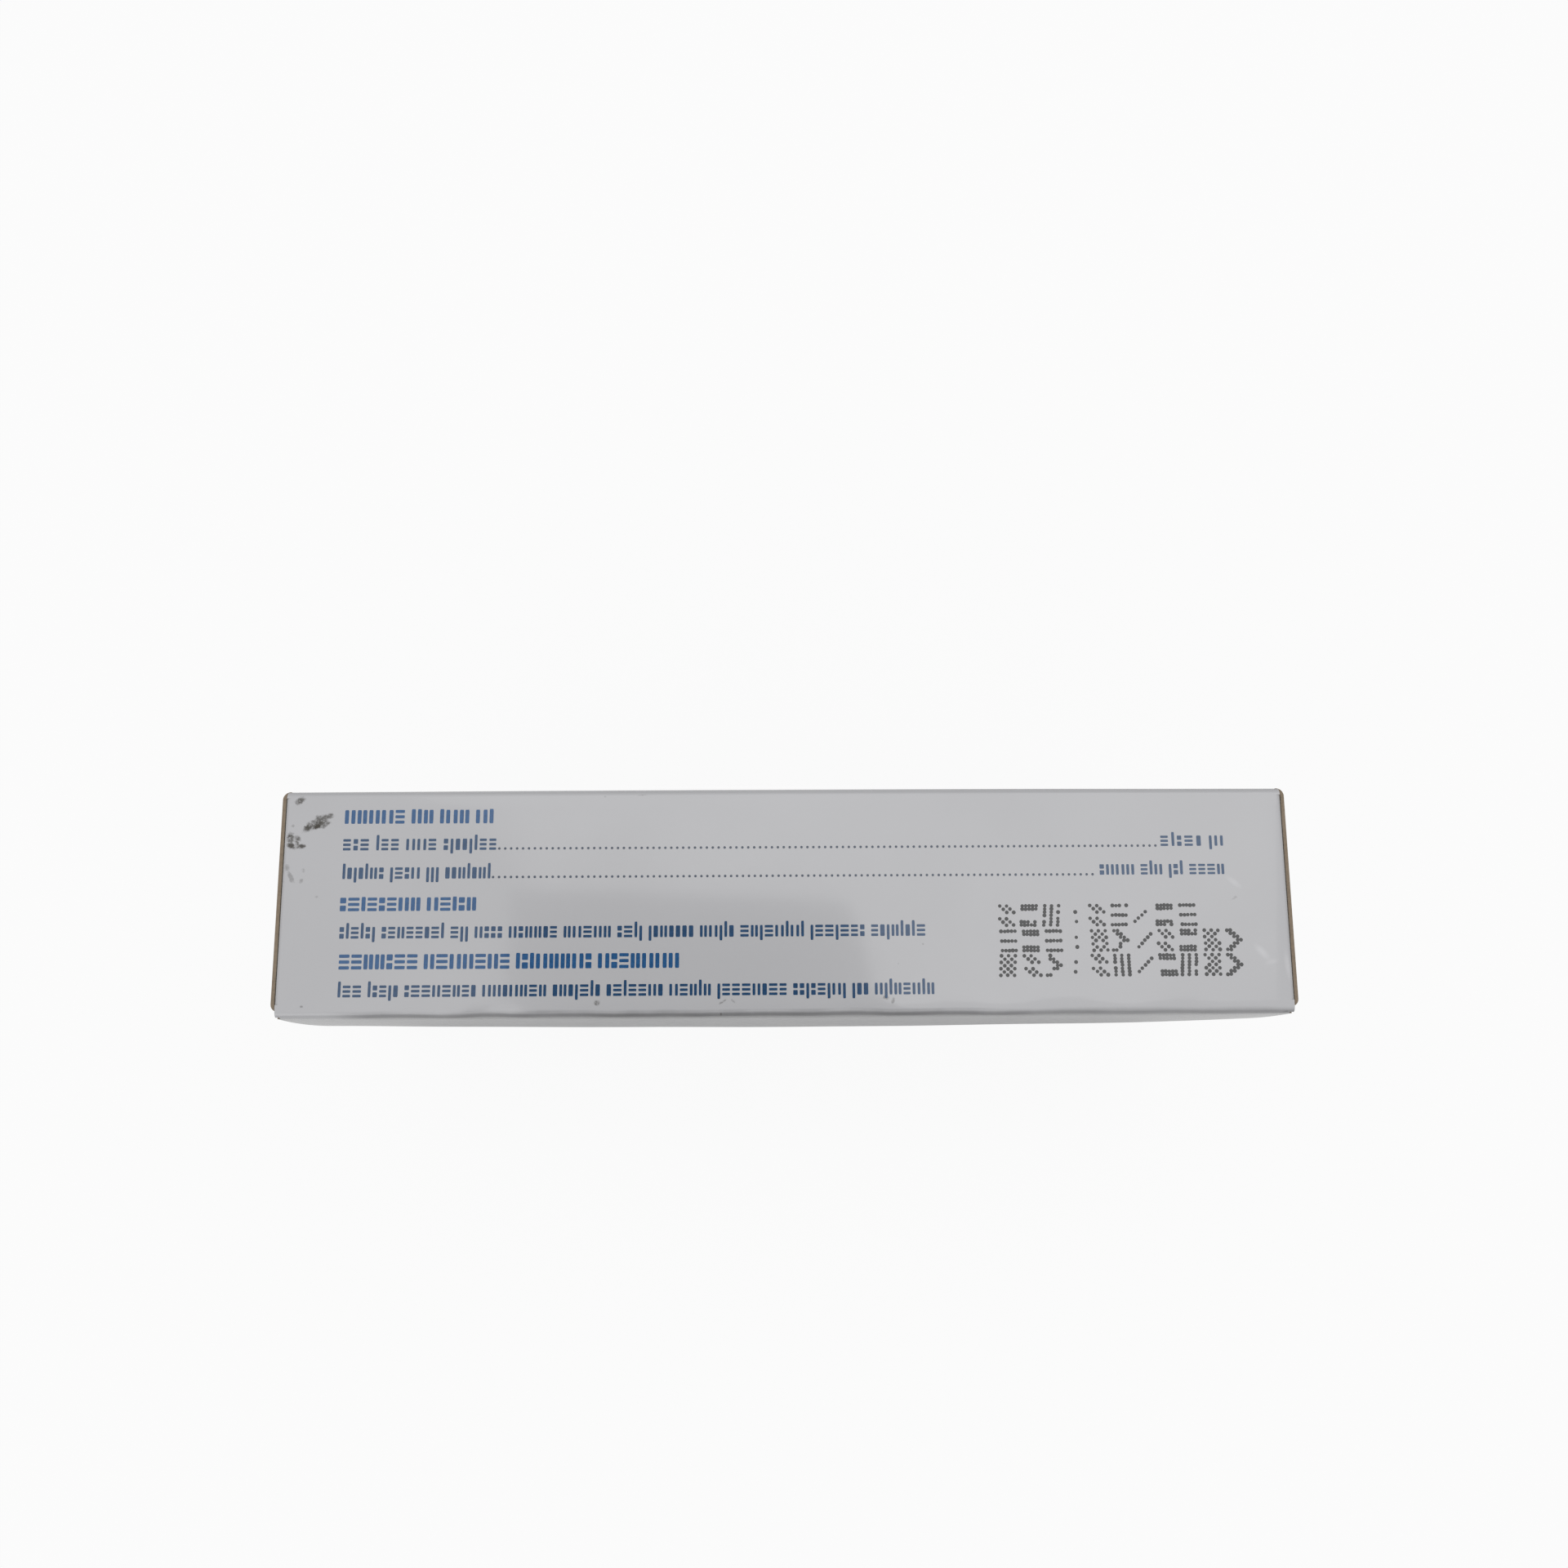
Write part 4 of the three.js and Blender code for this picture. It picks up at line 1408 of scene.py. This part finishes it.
# The photograph's view, solved from the upper side's four corners: place in mm, turn in degrees, lens in mm
CAMERA_PLACE = (-1.53, -12.28, 197.68)
CAMERA_TURN = (9.866, -0.488, -0.318)
CAMERA_LENS = 30
# Round lamps: name, place and width in metres, and watts
LAMPS = (
    ("top_light", (0.12, 0.3, 0.8), 0.8, 0.92),
    ("front_light", (-0.45, -0.6, 0.4), 0.5, 0.46),
)
WALL_LEVEL = 0.32
CEILING_LEVEL = 0.92
# How much of the floor's white the camera sees as pure white
FLOOR_GLOW = 0.92
# The dark card's corners in mm, from the patch that the photograph shows: lower left, lower right,
# upper left and upper right
CARD_CORNERS = ((-68.0, -150.0), (58.0, -150.0), (-61.0, 15.5), (16.0, 12.0))
CARD_HEIGHT = 200.0


class CARTON_OT_stage(bpy.types.Operator):
    """Sets the camera, the soft lights and the pale floor"""

    bl_idname = "carton.stage"
    bl_label = "Stage"

    def execute(self, context):
        scene = context.scene
        camera = bpy.data.objects.new("camera", bpy.data.cameras.new("camera"))
        camera.location = [c * MM for c in CAMERA_PLACE]
        camera.rotation_euler = [math.radians(a) for a in CAMERA_TURN]
        camera.data.lens = CAMERA_LENS
        camera.data.sensor_width = 36
        camera.data.clip_start = 0.005
        scene.collection.objects.link(camera)
        scene.camera = camera
        aim = Vector((0, 0, DEPTH / 2))
        for name, place, size, watts in LAMPS:
            light = bpy.data.objects.new(name, bpy.data.lights.new(name, "AREA"))
            light.data.shape = "DISK"
            light.data.size = size
            light.data.energy = watts
            light.location = place
            light.rotation_euler = (aim - Vector(place)).to_track_quat("-Z", "Y").to_euler()
            scene.collection.objects.link(light)
        world = bpy.data.worlds.new("studio")
        scene.world = world
        world.use_nodes = True
        self.ceiling(world.node_tree, world.node_tree.nodes["Background"])
        self.floor()
        self.dark_card()
        scene.view_settings.view_transform = "Standard"
        return {"FINISHED"}

    def ceiling(self, tree, background):
        """A bright ceiling over dimmer walls, and full white for what sees the backdrop itself."""
        nodes, links = tree.nodes, tree.links
        place = nodes.new("ShaderNodeTexCoord")
        axes = nodes.new("ShaderNodeSeparateXYZ")
        links.new(place.outputs["Generated"], axes.inputs["Vector"])
        room = ramp(nodes, links, axes.outputs["Z"], 0.0, 0.75, WALL_LEVEL, CEILING_LEVEL)
        rays = nodes.new("ShaderNodeLightPath").outputs
        seen = larger(nodes, links, rays["Is Camera Ray"], rays["Is Transmission Ray"])
        level = nodes.new("ShaderNodeMapRange")
        level.inputs["To Max"].default_value = 1.0
        links.new(room, level.inputs["To Min"])
        links.new(seen, level.inputs["Value"])
        links.new(level.outputs["Result"], background.inputs["Strength"])
        background.inputs["Color"].default_value = (1, 1, 1, 1)

    def floor(self):
        """A pale floor that keeps the carton's soft shadow."""
        start_clean()
        bpy.ops.mesh.primitive_circle_add(vertices=96, radius=6, fill_type="NGON", location=(0, 0, 0))
        floor = settle(bpy.context.object, "floor")
        material, nodes, links, shader, _ = new_material("floor_white")
        shader.inputs["Base Color"].default_value = (0.62, 0.62, 0.62, 1)
        shader.inputs["Roughness"].default_value = 0.9
        glow = nodes.new("ShaderNodeEmission")
        glow.inputs["Strength"].default_value = 1.0
        rays = nodes.new("ShaderNodeLightPath").outputs
        share = times(nodes, links, rays["Is Camera Ray"], FLOOR_GLOW)
        blend = nodes.new("ShaderNodeMixShader")
        links.new(share, blend.inputs["Fac"])
        links.new(shader.outputs["BSDF"], blend.inputs[1])
        links.new(glow.outputs["Emission"], blend.inputs[2])
        links.new(blend.outputs["Shader"], nodes["Material Output"].inputs["Surface"])
        floor.data.materials.append(material)

    def dark_card(self):
        """A dark card over the carton, seen only as the soft dark patch in the gloss of its upper side."""
        start_clean()
        bpy.ops.mesh.primitive_plane_add(size=1, location=(0, 0, 0))
        card = settle(bpy.context.object, "dark_card")
        for corner, (x, y) in zip(card.data.vertices, CARD_CORNERS):
            corner.co = (x * MM, y * MM, CARD_HEIGHT * MM)
        material, _, _, shader, _ = new_material("card_black")
        shader.inputs["Base Color"].default_value = (0.02, 0.02, 0.02, 1)
        shader.inputs["Roughness"].default_value = 0.9
        card.data.materials.append(material)
        for ray in ("camera", "diffuse", "transmission", "volume_scatter", "shadow"):
            setattr(card, "visible_" + ray, False)


class CARTON_PT_panel(bpy.types.Panel):
    """Lists the steps that dress the carton"""

    bl_label = "Carton"
    bl_idname = "CARTON_PT_panel"
    bl_space_type = "VIEW_3D"
    bl_region_type = "UI"
    bl_category = "Carton"

    def draw(self, context):
        scene = context.scene
        for group in (scene.carton_board, scene.carton_print, scene.carton_pack):
            for name in group.__annotations__:
                self.layout.prop(group, name)
        for step in STEPS:
            self.layout.operator("carton." + step)


STEPS = ("stage", "sleeve", "closures", "print", "blisters", "tablets", "leaflet")
GROUPS = {"carton_board": CartonSettings, "carton_print": PrintSettings, "carton_pack": PackSettings}
CLASSES = (
    *GROUPS.values(),
    CARTON_OT_stage,
    CARTON_OT_sleeve,
    CARTON_OT_closures,
    CARTON_OT_print,
    CARTON_OT_blisters,
    CARTON_OT_tablets,
    CARTON_OT_leaflet,
    CARTON_PT_panel,
)


def register():
    for made in CLASSES:
        bpy.utils.register_class(made)
    for name, group in GROUPS.items():
        setattr(bpy.types.Scene, name, bpy.props.PointerProperty(type=group))


def unregister():
    for name in GROUPS:
        delattr(bpy.types.Scene, name)
    for made in reversed(CLASSES):
        bpy.utils.unregister_class(made)


def main():
    register()
    for step in STEPS:
        getattr(bpy.ops.carton, step)()


if __name__ == "__main__":
    main()
